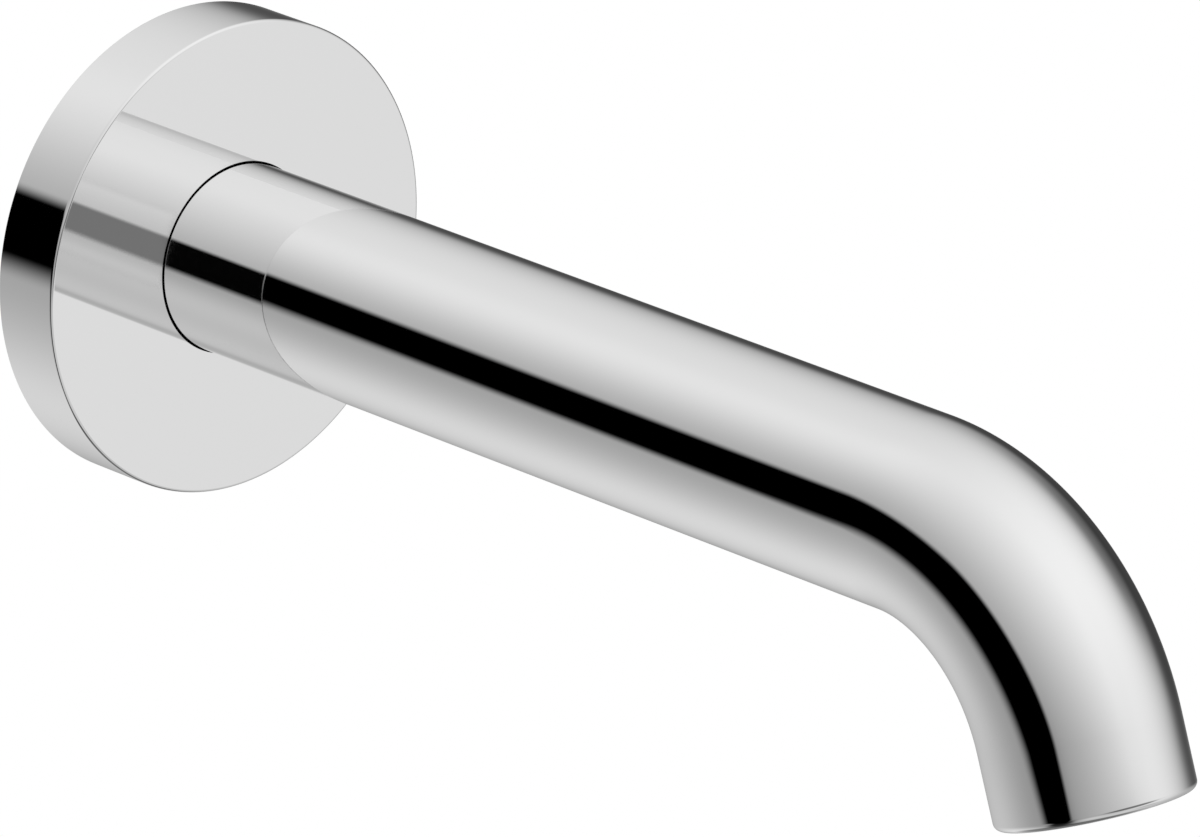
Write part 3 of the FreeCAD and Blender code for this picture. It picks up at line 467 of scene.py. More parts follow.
# Wall rose: turned brass, chromed all over. A flat face with a barely broken edge, a deep rim,
# and a collar behind the hole that holds the ring which grips the tube.
ROSE_RADIUS = 35.0
ROSE_DEPTH = 11.3
ROSE_EDGE = 0.45
ROSE_HOLE = 14.22
FACE_REAR = 9.3
GROOVE_REAR = 7.1
GROOVE_RADIUS = 15.6
COLLAR_REAR = 6.3
COLLAR_RADIUS = 17.5
RIM_INSIDE = 31.5
SEAL_DEPTH = 2.0
SEAL_OUTSIDE = 33.5
rose = turned("escutcheon_turned", soften([
    (0.0, ROSE_RADIUS, 0.12), (ROSE_DEPTH, ROSE_RADIUS, ROSE_EDGE), (ROSE_DEPTH, ROSE_HOLE, 0.02),
    (FACE_REAR, ROSE_HOLE, 0.05), (FACE_REAR, GROOVE_RADIUS, 0.05), (GROOVE_REAR, GROOVE_RADIUS, 0.05),
    (GROOVE_REAR, ROSE_HOLE, 0.05), (COLLAR_REAR, ROSE_HOLE, 0.12), (COLLAR_REAR, COLLAR_RADIUS, 0.2),
    (FACE_REAR, COLLAR_RADIUS, 0.4), (FACE_REAR, RIM_INSIDE, 0.4), (SEAL_DEPTH, RIM_INSIDE, 0.1),
    (SEAL_DEPTH, SEAL_OUTSIDE, 0.05), (0.0, SEAL_OUTSIDE, 0.1),
], steps=8), segments=256)
finish(rose, "escutcheon", chrome)

# Moulded black EPDM rubber: the ring in the collar that grips the tube, and the seal in the rim, whose two
# lips press on the wall. Rubber has a dry bloom, so its gloss is patchy and its skin finely pitted.


def mottled(name, shades, gloss, grain, relief=None, contrast=(0.0, 1.0), metallic=0.0):
    """
    A material whose shade and gloss both follow one noise, the grain. A relief is the inputs of a noise, the
    strength of a bump and its height.
    """
    material, tree = new_material(name)
    place = add(tree, "ShaderNodeTexCoord", output="Object")
    patches = add(tree, "ShaderNodeTexNoise", {"Vector": place, **grain})
    blend = add(tree, "ShaderNodeMapRange", {
        "Value": patches, "From Min": contrast[0], "From Max": contrast[1]})
    tone = add(tree, "ShaderNodeMix", {0: blend, 6: linear(shades[0]), 7: linear(shades[1])},
               data_type="RGBA", output=2)
    shine = add(tree, "ShaderNodeMapRange", {"Value": patches, "To Min": gloss[0], "To Max": gloss[1]})
    shader = add(tree, "ShaderNodeBsdfPrincipled", {
        "Base Color": tone, "Metallic": metallic, "Roughness": shine})
    if relief:
        pits, strength, height = relief
        rough = add(tree, "ShaderNodeTexNoise", {"Vector": place, **pits})
        skin = add(tree, "ShaderNodeBump", {"Height": rough, "Strength": strength, "Distance": height})
        tree.links.new(skin, tree.nodes["Principled BSDF"].inputs["Normal"])
    add(tree, "ShaderNodeOutputMaterial", [shader])
    return material


rubber = mottled("moulded_epdm_rubber_dry_bloom", ("#141516", "#25272A"), (0.45, 0.75),
                 {"Scale": 700.0, "Detail": 4.0}, ({"Scale": 4000.0, "Detail": 2.0}, 0.4, 0.00005))

RING_WIDTH = 1.9
RING_ROUND = 0.6


def rubber_ring(name, middle, inside, outside):
    """A round rubber ring, squeezed flat where it touches."""
    back, front = middle - RING_WIDTH / 2, middle + RING_WIDTH / 2
    return turned(name, soften([
        (back, inside, RING_ROUND), (back, outside, RING_ROUND),
        (front, outside, RING_ROUND), (front, inside, RING_ROUND)], steps=6), segments=128)


grip = rubber_ring("escutcheon_o_ring_moulded", (GROOVE_REAR + FACE_REAR) / 2, TUBE_RADIUS, GROOVE_RADIUS)
finish(grip, "escutcheon_o_ring", rubber)
SEAL_INSIDE = 31.6
SEAL_LIP = 0.55
VALLEY_DEPTH = 0.4
VALLEY_SLOPE = 0.2
outer_lip, inner_lip = SEAL_OUTSIDE - SEAL_LIP, SEAL_INSIDE + SEAL_LIP
seal_corners = [
    (0.0, SEAL_OUTSIDE), (0.0, outer_lip), (VALLEY_DEPTH, outer_lip - VALLEY_SLOPE),
    (VALLEY_DEPTH, inner_lip + VALLEY_SLOPE), (0.0, inner_lip), (0.0, SEAL_INSIDE), (SEAL_DEPTH, SEAL_INSIDE),
    (SEAL_DEPTH, SEAL_OUTSIDE)]
seal_rows = soften([(*corner, 0.12) for corner in seal_corners], steps=4)
seal = turned("wall_seal_moulded", seal_rows, segments=160)
finish(seal, "wall_seal", rubber)

# Connection nipple: turned from brass bar, with the pipe thread cut on its wall end, a shoulder over the
# relief for the washer, grooves for the set screw and two rubber rings, and a hexagon socket at its front.
TOOL_FEED = 0.25


def turned_brass(name, tilt):
    """Bright brass straight from the lathe: fine tool rings round the piece's axis, slightly tarnished."""
    material = mottled(name, ("#E3C47F", "#C9A35C"), (0.18, 0.36), {"Scale": 180.0, "Detail": 5.0},
                       metallic=1.0)
    tree = material.node_tree
    place = add(tree, "ShaderNodeTexCoord", output="Object")
    aligned = add(tree, "ShaderNodeMapping", {"Vector": place, "Rotation": (-tilt, 0.0, 0.0)})
    # A wave texture turns by 20 radians in each unit of length.
    rings = add(tree, "ShaderNodeTexWave", {
        "Vector": aligned, "Scale": 2 * math.pi / (20 * TOOL_FEED * MM), "Distortion": 0.6, "Detail": 1.0},
        bands_direction="Y", output="Fac")
    cut = add(tree, "ShaderNodeBump", {"Height": rings, "Strength": 0.25, "Distance": 0.00002})
    tree.links.new(cut, tree.nodes["Principled BSDF"].inputs["Normal"])
    return material


lathe_brass = turned_brass("turned_brass_from_the_lathe", 0.0)

PIPE_RADIUS = 10.4775
PIPE_PITCH = 25.4 / 14
PIPE_DEPTH = 0.64 * PIPE_PITCH
TOOTH_FLAT = 0.14
SKIN = 0.00005

# The thread: points of the plain cylinder move in by a wave that winds once round for each pitch.
thread = new_tree("cut_the_thread", Radius=PIPE_RADIUS * MM, Pitch=PIPE_PITCH * MM,
                     Depth=PIPE_DEPTH * MM, Start=0.0, End=0.01)
sizes = add(thread, "NodeGroupInput", output=None)
place = add(thread, "GeometryNodeInputPosition")
parts = add(thread, "ShaderNodeSeparateXYZ", [place], output=None)
along = add(thread, "ShaderNodeMath", [parts["Y"], -1.0], operation="MULTIPLY")
across = add(thread, "ShaderNodeCombineXYZ", {"X": parts["X"], "Z": parts["Z"]})
stay = add(thread, "ShaderNodeCombineXYZ", {"Y": parts["Y"]})
radius = add(thread, "ShaderNodeVectorMath", [across], operation="LENGTH", output="Value")
angle = add(thread, "ShaderNodeMath", [parts["X"], parts["Z"]], operation="ARCTAN2")
turns = add(thread, "ShaderNodeMath", [along, sizes["Pitch"]], operation="DIVIDE")
turns = add(thread, "ShaderNodeMath", [angle, 0.5 / math.pi, turns], operation="MULTIPLY_ADD")
phase = add(thread, "ShaderNodeMath", [turns], operation="FRACT")
flank = add(thread, "ShaderNodeMath", [phase, 2.0, -1.0], operation="MULTIPLY_ADD")
flank = add(thread, "ShaderNodeMath", [flank], operation="ABSOLUTE")
cut = add(thread, "ShaderNodeMapRange", {"Value": flank, "From Min": TOOTH_FLAT, "From Max": 1 - TOOTH_FLAT})
for edge, inward in (("Start", 1.0), ("End", -1.0)):
    inside = add(thread, "ShaderNodeMath", [along, sizes[edge]], operation="SUBTRACT")
    inside = add(thread, "ShaderNodeMath", [inside, sizes["Pitch"]], operation="DIVIDE")
    fade = add(thread, "ShaderNodeMapRange", {"Value": inside, "From Max": inward})
    cut = add(thread, "ShaderNodeMath", [cut, fade], operation="MULTIPLY")
skin = add(thread, "ShaderNodeMath", [radius, sizes["Radius"], SKIN], operation="COMPARE")
cut = add(thread, "ShaderNodeMath", [cut, skin], operation="MULTIPLY")
cut = add(thread, "ShaderNodeMath", [cut, sizes["Depth"]], operation="MULTIPLY")
left = add(thread, "ShaderNodeMath", [radius, cut], operation="SUBTRACT")
share = add(thread, "ShaderNodeMath", [left, radius], operation="DIVIDE")
across = add(thread, "ShaderNodeVectorMath", {0: across, "Scale": share}, operation="SCALE")
placed = add(thread, "ShaderNodeVectorMath", [across, stay], operation="ADD")
moved = add(thread, "GeometryNodeSetPosition", {"Geometry": sizes["Geometry"], "Position": placed})
real = add(thread, "GeometryNodeRealizeInstances", {"Geometry": moved})
add(thread, "NodeGroupOutput", {"Geometry": real})
ROWS_PER_PITCH = 10


def blank(start, end, radius, pitch):
    """Rows of a plain cylinder, close enough together for a thread."""
    count = max(2, round(abs(end - start) / pitch * ROWS_PER_PITCH))
    return [(start + (end - start) * k / count, radius, 0) for k in range(count + 1)]


def cut_thread(piece, radius, pitch, depth, start, end):
    """Cuts a thread into the plain cylinder of this radius, between two stations."""
    bake(piece, thread, Radius=radius * MM, Pitch=pitch * MM, Depth=depth * MM,
         Start=start * MM, End=end * MM)
    piece.data.set_sharp_from_angle(angle=math.radians(50))


THREAD_TIP = -15.0
THREAD_ROOT = -1.0
TIP_RADIUS = PIPE_RADIUS - 1.2
NIPPLE_BORE = 5.5
SHOULDER_REAR, SHOULDER_FRONT = 1.0, 3.0
SHOULDER_RADIUS = 12.1975
SPIGOT_RADIUS = 9.9
SPIGOT_END = 22.0
SPIGOT_LEAD = 1.0
SCREW_GROOVE_RADIUS = 8.7
SCREW_GROOVE_TOP, SCREW_GROOVE_FLOOR = 2.6, 1.4
RING_SEAT_RADIUS = 8.6
RING_SEAT_WIDTH = 2.4
RING_SEATS = {"rear": 12.5, "front": 17.5}
KEY_END = 12.0
KEY_FLATS = 6.0
KEY_BREAK = 0.15
grooves = [
    (SCREW_STATION - SCREW_GROOVE_TOP, SPIGOT_RADIUS, 0.15),
    (SCREW_STATION - SCREW_GROOVE_FLOOR, SCREW_GROOVE_RADIUS, 0.15),
    (SCREW_STATION + SCREW_GROOVE_FLOOR, SCREW_GROOVE_RADIUS, 0.15),
    (SCREW_STATION + SCREW_GROOVE_TOP, SPIGOT_RADIUS, 0.15)]
for middle in RING_SEATS.values():
    back, front = middle - RING_SEAT_WIDTH / 2, middle + RING_SEAT_WIDTH / 2
    grooves += [(back, SPIGOT_RADIUS, 0.15), (back, RING_SEAT_RADIUS, 0.2)]
    grooves += [(front, RING_SEAT_RADIUS, 0.2), (front, SPIGOT_RADIUS, 0.15)]
nipple = turned("connection_nipple_turned", soften(
    [(THREAD_TIP, NIPPLE_BORE, 0.2), (THREAD_TIP, TIP_RADIUS, 0.1)]
    + blank(THREAD_TIP + 1.2, THREAD_ROOT, PIPE_RADIUS, PIPE_PITCH)
    + [(THREAD_ROOT, TIP_RADIUS, 0.2), (SHOULDER_REAR, TIP_RADIUS, 0.2),
       (SHOULDER_REAR, SHOULDER_RADIUS, 0.3), (SHOULDER_FRONT, SHOULDER_RADIUS, 0.3),
       (SHOULDER_FRONT, SPIGOT_RADIUS, 0.2)]
    + grooves
    + [(SPIGOT_END - SPIGOT_LEAD, SPIGOT_RADIUS, 0.2), (SPIGOT_END, SPIGOT_RADIUS - SPIGOT_LEAD, 0.2),
       (SPIGOT_END, KEY_FLATS + KEY_BREAK, 0, 6), (SPIGOT_END - KEY_BREAK, KEY_FLATS, 0, 6),
       (KEY_END, KEY_FLATS, 0, 6), (KEY_END, NIPPLE_BORE, 0)], steps=4), segments=120)
cut_thread(nipple, PIPE_RADIUS, PIPE_PITCH, PIPE_DEPTH, THREAD_TIP + 0.4, THREAD_ROOT)
finish(nipple, "connection_nipple", lathe_brass)

# Rubber rings in the nipple's grooves, squeezed between their floors and the bush that slips over them.
BUSH_BORE = 10.0
for seat, middle in RING_SEATS.items():
    o_ring = rubber_ring(f"nipple_o_ring_{seat}_moulded", middle, RING_SEAT_RADIUS, BUSH_BORE)
    finish(o_ring, f"nipple_o_ring_{seat}", rubber)

# Thread washer: pressed from red fibre, between the shoulder and the fitting in the wall. Fibre is a mat of
# short red-brown hairs, mottled and dull.
hairs = {"Scale": 900.0, "Detail": 6.0, "Distortion": 1.5}
fibre = mottled("pressed_red_fibre_mottled", ("#7A2E22", "#A5513B"), (0.75, 0.9), hairs, (hairs, 0.5, 0.0001),
                contrast=(0.35, 0.65))
WASHER_BORE = 10.5975
washer = turned("thread_washer_pressed", soften([
    (THREAD_ROOT, WASHER_BORE, 0.15), (THREAD_ROOT, SHOULDER_RADIUS, 0.25),
    (SHOULDER_REAR, SHOULDER_RADIUS, 0.25), (SHOULDER_REAR, WASHER_BORE, 0.15)], steps=4))
finish(washer, "thread_washer", fibre)

# Inlet bush: turned brass, brazed into the tube. Its lead eases the rubber rings in, and its stop meets
# the nipple's nose. A tapped hole below takes the set screw.
BUSH_LEAD = 1.0
BUSH_END = 26.0
STOP_REAR = 23.0
STOP_BORE = 8.0
bush = turned("inlet_bush_turned", soften([
    (TUBE_REAR, BUSH_BORE + BUSH_LEAD, 0.15), (TUBE_REAR, BORE_RADIUS, 0.1), (BUSH_END, BORE_RADIUS, 0.3),
    (BUSH_END, STOP_BORE, 0.4), (STOP_REAR, STOP_BORE, 0.3), (STOP_REAR, BUSH_BORE, 0.1),
    (TUBE_REAR + BUSH_LEAD, BUSH_BORE, 0.2)], steps=4), segments=120)
cut_away(bush, *prism(circle(SCREW_HOLE, out=-SCREW_STATION), low=-14.0, high=-8.0))
finish(bush, "inlet_bush", lathe_brass)

# Set screw: stainless steel, with a hexagon socket that a key reaches from below. Stainless is paler and
# duller than chrome, with fine scratches from the tumbler.
steel = mottled("stainless_steel_tumbled", ("#BEBDBA", "#D2D1CE"), (0.22, 0.42),
                {"Scale": 2500.0, "Detail": 3.0, "Distortion": 2.0}, metallic=1.0)

SCREW_RADIUS = 2.5
SCREW_PITCH = 0.8
SCREW_DEPTH = 0.45
SCREW_THREAD = (9.6, 13.6)
SCREW_TIP, SCREW_TOP = 8.75, 13.75
POINT_RADIUS, POINT_HEIGHT = 1.3, 1.2
SCREW_CHAMFER = 0.4
SOCKET_FLATS, SOCKET_DEPTH, SOCKET_BREAK = 1.25, 2.4, 0.1
socket_floor = SCREW_TOP - SOCKET_DEPTH
screw = turned("set_screw_rolled", soften(
    [(socket_floor, 0.0, 0), (SCREW_TIP, 0.0, 0), (SCREW_TIP, POINT_RADIUS, 0.1)]
    + blank(SCREW_TIP + POINT_HEIGHT, SCREW_TOP - SCREW_CHAMFER, SCREW_RADIUS, SCREW_PITCH)
    + [(SCREW_TOP, SCREW_RADIUS - SCREW_CHAMFER, 0.1), (SCREW_TOP, SOCKET_FLATS + SOCKET_BREAK, 0, 6),
       (SCREW_TOP - SOCKET_BREAK, SOCKET_FLATS, 0, 6), (socket_floor, SOCKET_FLATS, 0, 6)],
    steps=3), segments=48)
cut_thread(screw, SCREW_RADIUS, SCREW_PITCH, SCREW_DEPTH, *SCREW_THREAD)
upright = Matrix.Rotation(math.radians(90), 4, "X")
place = Matrix.Translation((0, -SCREW_STATION * MM, 0)) @ upright
finish(screw, "set_screw", steel, place)

# Outlet ring: turned brass, brazed just inside the outlet, with the thread for the jet former and a ledge
# for its seal. From here on each piece is made on the tube's axis, with stations from the outlet's edge
# that are negative inside it, and is then taken to the outlet.
OUTLET = Vector((
    0, -(BEND_START + BEND_RADIUS * math.sin(BEND_ANGLE) + TAIL * math.cos(BEND_ANGLE)),
    -(BEND_RADIUS * (1 - math.cos(BEND_ANGLE)) + TAIL * math.sin(BEND_ANGLE)))) * MM
TO_OUTLET = Matrix.Translation(OUTLET) @ Matrix.Rotation(BEND_ANGLE, 4, "X")
JET_RADIUS = 10.75
JET_PITCH = 1.0
JET_DEPTH = 0.55
RUN_OUT = 0.3
RING_REAR, RING_FRONT = -10.4, -0.8
LEDGE, LEDGE_BORE = -8.0, 9.4
outlet_brass = turned_brass("turned_brass_in_the_outlet", BEND_ANGLE)
ring = turned("outlet_ring_turned", soften(
    [(RING_REAR, LEDGE_BORE, 0.2), (RING_REAR, BORE_RADIUS, 0.1), (RING_FRONT, BORE_RADIUS, 0.15),
     (RING_FRONT, JET_RADIUS, 0)]
    + blank(RING_FRONT - 0.01, LEDGE, JET_RADIUS, JET_PITCH) + [(LEDGE, LEDGE_BORE, 0.15)],
    steps=4), segments=128)
cut_thread(ring, JET_RADIUS, JET_PITCH, JET_DEPTH, LEDGE - RUN_OUT, RING_FRONT + RUN_OUT)
finish(ring, "outlet_ring", outlet_brass, TO_OUTLET)
SLEEVE_REAR = -6.8
JET_SEAL_BORE, JET_SEAL_RADIUS = 8.6, 10.6
jet_seal = turned("jet_seal_moulded", soften([
    (LEDGE, JET_SEAL_BORE, 0.15), (LEDGE, JET_SEAL_RADIUS, 0.15), (SLEEVE_REAR, JET_SEAL_RADIUS, 0.15),
    (SLEEVE_REAR, JET_SEAL_BORE, 0.15)], steps=4))
finish(jet_seal, "jet_seal", rubber, TO_OUTLET)

# Jet former: a moulded grey sleeve with a thread outside, notches in its rim for a key, and a mouth that
# holds the stack of the pieces inside. Acetal is even in colour and waxy, with a faint orange peel.
ACETAL = {"gloss": (0.32, 0.48), "grain": {"Scale": 250.0, "Detail": 3.0},
          "relief": ({"Scale": 1600.0, "Detail": 1.0}, 0.2, 0.00003)}
grey_acetal = mottled("moulded_acetal_grey", ("#8B8D90", "#9C9EA0"), **ACETAL)
white_acetal = mottled("moulded_acetal_white", ("#E2E3E0", "#EDEEEC"), **ACETAL)
SLEEVE_RADIUS = 10.72
SLEEVE_BORE = 9.1
SLEEVE_FRONT = -1.0
RIM_FRONT_RADIUS = 10.1
THREAD_FRONT = -2.2
MOUTH_REAR, MOUTH_RADIUS = -2.4, 8.2
NOTCH = 1.2
NOTCH_DEPTH = 2.0
NOTCH_CUTS = 3
CUTTER_REACH = 11.5
sleeve = turned("jet_housing_moulded", soften(
    [(SLEEVE_FRONT, MOUTH_RADIUS, 0.2), (SLEEVE_FRONT, RIM_FRONT_RADIUS, 0.2),
     (THREAD_FRONT, RIM_FRONT_RADIUS, 0.1)]
    + blank(THREAD_FRONT, SLEEVE_REAR, SLEEVE_RADIUS, JET_PITCH)
    + [(SLEEVE_REAR, SLEEVE_BORE, 0.1), (MOUTH_REAR, SLEEVE_BORE, 0.1), (MOUTH_REAR, MOUTH_RADIUS, 0.15)],
    steps=4), segments=128)
cut_thread(sleeve, SLEEVE_RADIUS, JET_PITCH, JET_DEPTH, SLEEVE_REAR - 0.4, THREAD_FRONT)
notch = [(-NOTCH, NOTCH_DEPTH), (NOTCH, NOTCH_DEPTH), (NOTCH, 0.0), (-NOTCH, 0.0)]
corners, faces = prism(notch, -CUTTER_REACH, CUTTER_REACH)
for k in range(NOTCH_CUTS):
    swing = Matrix.Rotation(math.radians(360 * k / NOTCH_CUTS), 4, "Y")
    cut_away(sleeve, [swing @ Vector(c) for c in corners], faces)
finish(sleeve, "jet_housing", grey_acetal, TO_OUTLET)


def drilled(name, rows, holes, bevel, segments=96):
    """
    A turned plate with straight holes. The rows run from the rim of its back face, round the outside, to the
    rim of its front face. A hole is across, up, corner count, corner radius and first angle in degrees.
    """
    work = bmesh.new()

    def loop(points, station):
        return [work.verts.new((x * MM, -station * MM, z * MM)) for x, z in points]

    def join(a, b):
        for k in range(len(a)):
            work.faces.new((a[k - 1], a[k], b[k], b[k - 1]))

    def edges(verts):
        pairs = [(verts[k - 1], verts[k]) for k in range(len(verts))]
        return [work.edges.get(pair) or work.edges.new(pair) for pair in pairs]

    rings = [loop(circle(radius, count=segments), station) for station, radius in rows]
    for a, b in zip(rings, rings[1:]):
        join(a, b)
    back, front = rows[0][0], rows[-1][0]
    inward = bevel if front > back else -bevel
    back_edges, front_edges = edges(rings[0]), edges(rings[-1])
    for across, up, count, radius, first in holes:
        turns = [math.radians(first + 360 * k / count) for k in range(count)]
        levels = [(back, radius + bevel), (back + inward, radius),
                  (front - inward, radius), (front, radius + bevel)]
        walls = [
            loop([(across + reach * math.cos(a), up + reach * math.sin(a)) for a in turns], station)
            for station, reach in levels]
        for a, b in zip(walls, walls[1:]):
            join(a, b)
        back_edges += edges(walls[0])
        front_edges += edges(walls[-1])
    bmesh.ops.triangle_fill(work, edges=back_edges, use_beauty=True)
    bmesh.ops.triangle_fill(work, edges=front_edges, use_beauty=True)
    return to_piece(work, name, sharp=30)


def hole_circle(row, count, radius, sides=20):
    """A ring of evenly spaced round holes."""
    turns = [2 * math.pi * k / count for k in range(count)]
    return [(row * math.cos(a), row * math.sin(a), sides, radius, 0.0) for a in turns]


# Strainer: a moulded white cap on the inlet side that stops grit. It has a flange, a straight side, a slope
# and a pierced top, with a hole in the middle and rings of six and twelve round it.
STACK_RADIUS = 9.0
STRAINER_RADIUS, STRAINER_BORE = 8.3, 7.6
CAP_TOP, CAP_TOP_RADIUS = -9.8, 6.7
CAP_BORE_TOP, CAP_BORE_TOP_RADIUS = -9.1, 6.35
SLOPE_FOOT, BORE_SLOPE_FOOT = -9.0, -8.65
STRAINER_HOLE, HOLE_ROW = 0.75, 2.65
PLATE_REAR, PLATE_FRONT = -6.2, -5.4
HOLE_BEVEL = 0.05
strainer = drilled("jet_strainer_moulded", [
    (CAP_TOP, CAP_TOP_RADIUS), (SLOPE_FOOT, STRAINER_RADIUS), (SLEEVE_REAR, STRAINER_RADIUS),
    (SLEEVE_REAR, STACK_RADIUS), (PLATE_REAR, STACK_RADIUS), (PLATE_REAR, STRAINER_BORE),
    (BORE_SLOPE_FOOT, STRAINER_BORE), (CAP_BORE_TOP, CAP_BORE_TOP_RADIUS)],
    hole_circle(0.0, 1, STRAINER_HOLE) + hole_circle(HOLE_ROW, 6, STRAINER_HOLE)
    + hole_circle(2 * HOLE_ROW, 12, STRAINER_HOLE), HOLE_BEVEL)
finish(strainer, "jet_strainer", white_acetal, TO_OUTLET)

# Distributor: a moulded white plate with a ring of twelve small jets, which break the water up. Its rim
# rests on the upper screen.
PLATE_FOOT = -4.6
PLATE_BORE = 7.8
JET_ROW, JET_HOLE = 5.8, 0.6
distributor = drilled("jet_distributor_moulded", [
    (PLATE_REAR, STACK_RADIUS), (PLATE_FOOT, STACK_RADIUS), (PLATE_FOOT, PLATE_BORE),
    (PLATE_FRONT, PLATE_BORE)],
    hole_circle(JET_ROW, 12, JET_HOLE), HOLE_BEVEL)
finish(distributor, "jet_distributor", white_acetal, TO_OUTLET)

# Screens: two discs of woven stainless wire, pressed into flat rims. Each wire goes over and under those
# that cross it, and the upper screen is turned by an eighth of a turn.
MESH_PITCH = 0.75
MESH_WIRE = 0.085
MESH_WAVE = 0.09
SCREEN_RADIUS = 8.9
SCREEN_HALF = 0.18
RIM_WIDTH = 1.1
WIRE_SINK = 0.3
weave = new_tree("weave_the_screen", Pitch=MESH_PITCH * MM, Wire=MESH_WIRE * MM, Wave=MESH_WAVE * MM,
                   Reach=(SCREEN_RADIUS - WIRE_SINK) * MM, Finish=None)
sizes = add(weave, "NodeGroupInput", output=None)
width = add(weave, "ShaderNodeMath", [sizes["Reach"], 2.0], operation="MULTIPLY")
count = add(weave, "ShaderNodeMath", [width, sizes["Pitch"]], operation="DIVIDE")
count = add(weave, "ShaderNodeMath", [count], operation="FLOOR")
first = add(weave, "ShaderNodeMath", [count, -0.5], operation="MULTIPLY")
first = add(weave, "ShaderNodeMath", [first, sizes["Pitch"]], operation="MULTIPLY")
lines = add(weave, "ShaderNodeMath", [count, 1.0], operation="ADD")
begin = add(weave, "ShaderNodeCombineXYZ", {"Z": first})
step = add(weave, "ShaderNodeCombineXYZ", {"Z": sizes["Pitch"]})
row = add(weave, "GeometryNodeMeshLine", {"Count": lines, "Start Location": begin, "Offset": step})
ends = add(weave, "ShaderNodeCombineXYZ", {"X": sizes["Reach"]})
other = add(weave, "ShaderNodeVectorMath", {0: ends, "Scale": -1.0}, operation="SCALE")
wire = add(weave, "GeometryNodeCurvePrimitiveLine", {"Start": other, "End": ends})
quarter = add(weave, "ShaderNodeMath", [sizes["Pitch"], 0.25], operation="MULTIPLY")
wire = add(weave, "GeometryNodeResampleCurve", {"Curve": wire, "Length": quarter}, mode="LENGTH")
wires = add(weave, "GeometryNodeInstanceOnPoints", {"Points": row, "Instance": wire})
straight = add(weave, "GeometryNodeRealizeInstances", {"Geometry": wires})
spot = add(weave, "GeometryNodeInputPosition")
parts = add(weave, "ShaderNodeSeparateXYZ", [spot], output=None)
rank = add(weave, "ShaderNodeMath", [parts["Z"], first], operation="SUBTRACT")
rank = add(weave, "ShaderNodeMath", [parts["X"], rank], operation="ADD")
angle = add(weave, "ShaderNodeMath", [rank, sizes["Pitch"]], operation="DIVIDE")
shift = add(weave, "ShaderNodeMath", [first, sizes["Pitch"]], operation="DIVIDE")
angle = add(weave, "ShaderNodeMath", [angle, shift], operation="SUBTRACT")
round_wire = add(weave, "GeometryNodeCurvePrimitiveCircle", {"Resolution": 6, "Radius": sizes["Wire"]})
cloth = add(weave, "GeometryNodeJoinGeometry")
for turn, start in ((0.0, 0.0), (math.pi / 2, math.pi)):
    phase = add(weave, "ShaderNodeMath", [angle, math.pi, start], operation="MULTIPLY_ADD")
    wave = add(weave, "ShaderNodeMath", [phase], operation="COSINE")
    wave = add(weave, "ShaderNodeMath", [wave, sizes["Wave"]], operation="MULTIPLY")
    lift = add(weave, "ShaderNodeCombineXYZ", {"Y": wave})
    wires = add(weave, "GeometryNodeSetPosition", {"Geometry": straight, "Offset": lift})
    far = add(weave, "ShaderNodeVectorMath", [spot], operation="LENGTH", output="Value")
    beyond = add(weave, "ShaderNodeMath", [far, sizes["Reach"]], operation="GREATER_THAN")
    wires = add(weave, "GeometryNodeDeleteGeometry", {"Geometry": wires, "Selection": beyond})
    wires = add(weave, "GeometryNodeCurveToMesh", {
        "Curve": wires, "Profile Curve": round_wire, "Fill Caps": True})
    wires = add(weave, "GeometryNodeTransform", {"Geometry": wires, "Rotation": (0.0, turn, 0.0)})
    weave.links.new(wires, cloth.node.inputs[0])
weave.links.new(sizes["Geometry"], cloth.node.inputs[0])
close_tree(weave, cloth, sizes["Finish"])

rim_bore = SCREEN_RADIUS - RIM_WIDTH
for name, middle, turn in (("jet_screen_lower", -4.0, 0.0), ("jet_screen_upper", -4.4, 45.0)):
    screen = turned(f"{name}_woven", soften([
        (-SCREEN_HALF, rim_bore, 0.1), (-SCREEN_HALF, SCREEN_RADIUS, 0.1),
        (SCREEN_HALF, SCREEN_RADIUS, 0.1), (SCREEN_HALF, rim_bore, 0.1)], steps=3))
    bake(screen, weave, Finish=steel)
    screen.data.shade_smooth()
    swing = Matrix.Rotation(math.radians(turn), 4, "Y")
    place = TO_OUTLET @ Matrix.Translation((0, -middle * MM, 0)) @ swing
    finish(screen, name, place=place)

# Honeycomb: moulded grey, the outlet's visible face. Its flange sits in the sleeve and its nose fills the
# mouth, so that the water leaves in one clear rod.
CELL_PITCH = 2.3
CELL_WEB = 0.45
CELL_BORDER = 0.4
CELL_BEVEL = 0.08
NOSE_RADIUS = 8.1
NOSE_FRONT = -1.4
COMB_REAR = -3.8
COMB_BREAK = 0.05
NOSE_BREAK = 0.1
cell = (CELL_PITCH - CELL_WEB) / math.sqrt(3)
row_step = CELL_PITCH * math.sqrt(3) / 2
most = math.ceil(NOSE_RADIUS / row_step)
cells = []
for row in range(-most, most + 1):
    for column in range(-most, most + 1):
        x, z = column * CELL_PITCH + (CELL_PITCH / 2 if row % 2 else 0.0), row * row_step
        if math.hypot(x, z) <= NOSE_RADIUS - CELL_BORDER - cell:
            cells.append((x, z, 6, cell, 90.0))
comb = drilled("jet_honeycomb_moulded", [
    (COMB_REAR, STACK_RADIUS - COMB_BREAK), (COMB_REAR + COMB_BREAK, STACK_RADIUS),
    (MOUTH_REAR - COMB_BREAK, STACK_RADIUS), (MOUTH_REAR, STACK_RADIUS - COMB_BREAK),
    (MOUTH_REAR, NOSE_RADIUS), (NOSE_FRONT - NOSE_BREAK, NOSE_RADIUS),
    (NOSE_FRONT, NOSE_RADIUS - NOSE_BREAK)], cells, CELL_BEVEL)
finish(comb, "jet_honeycomb", grey_acetal, TO_OUTLET)

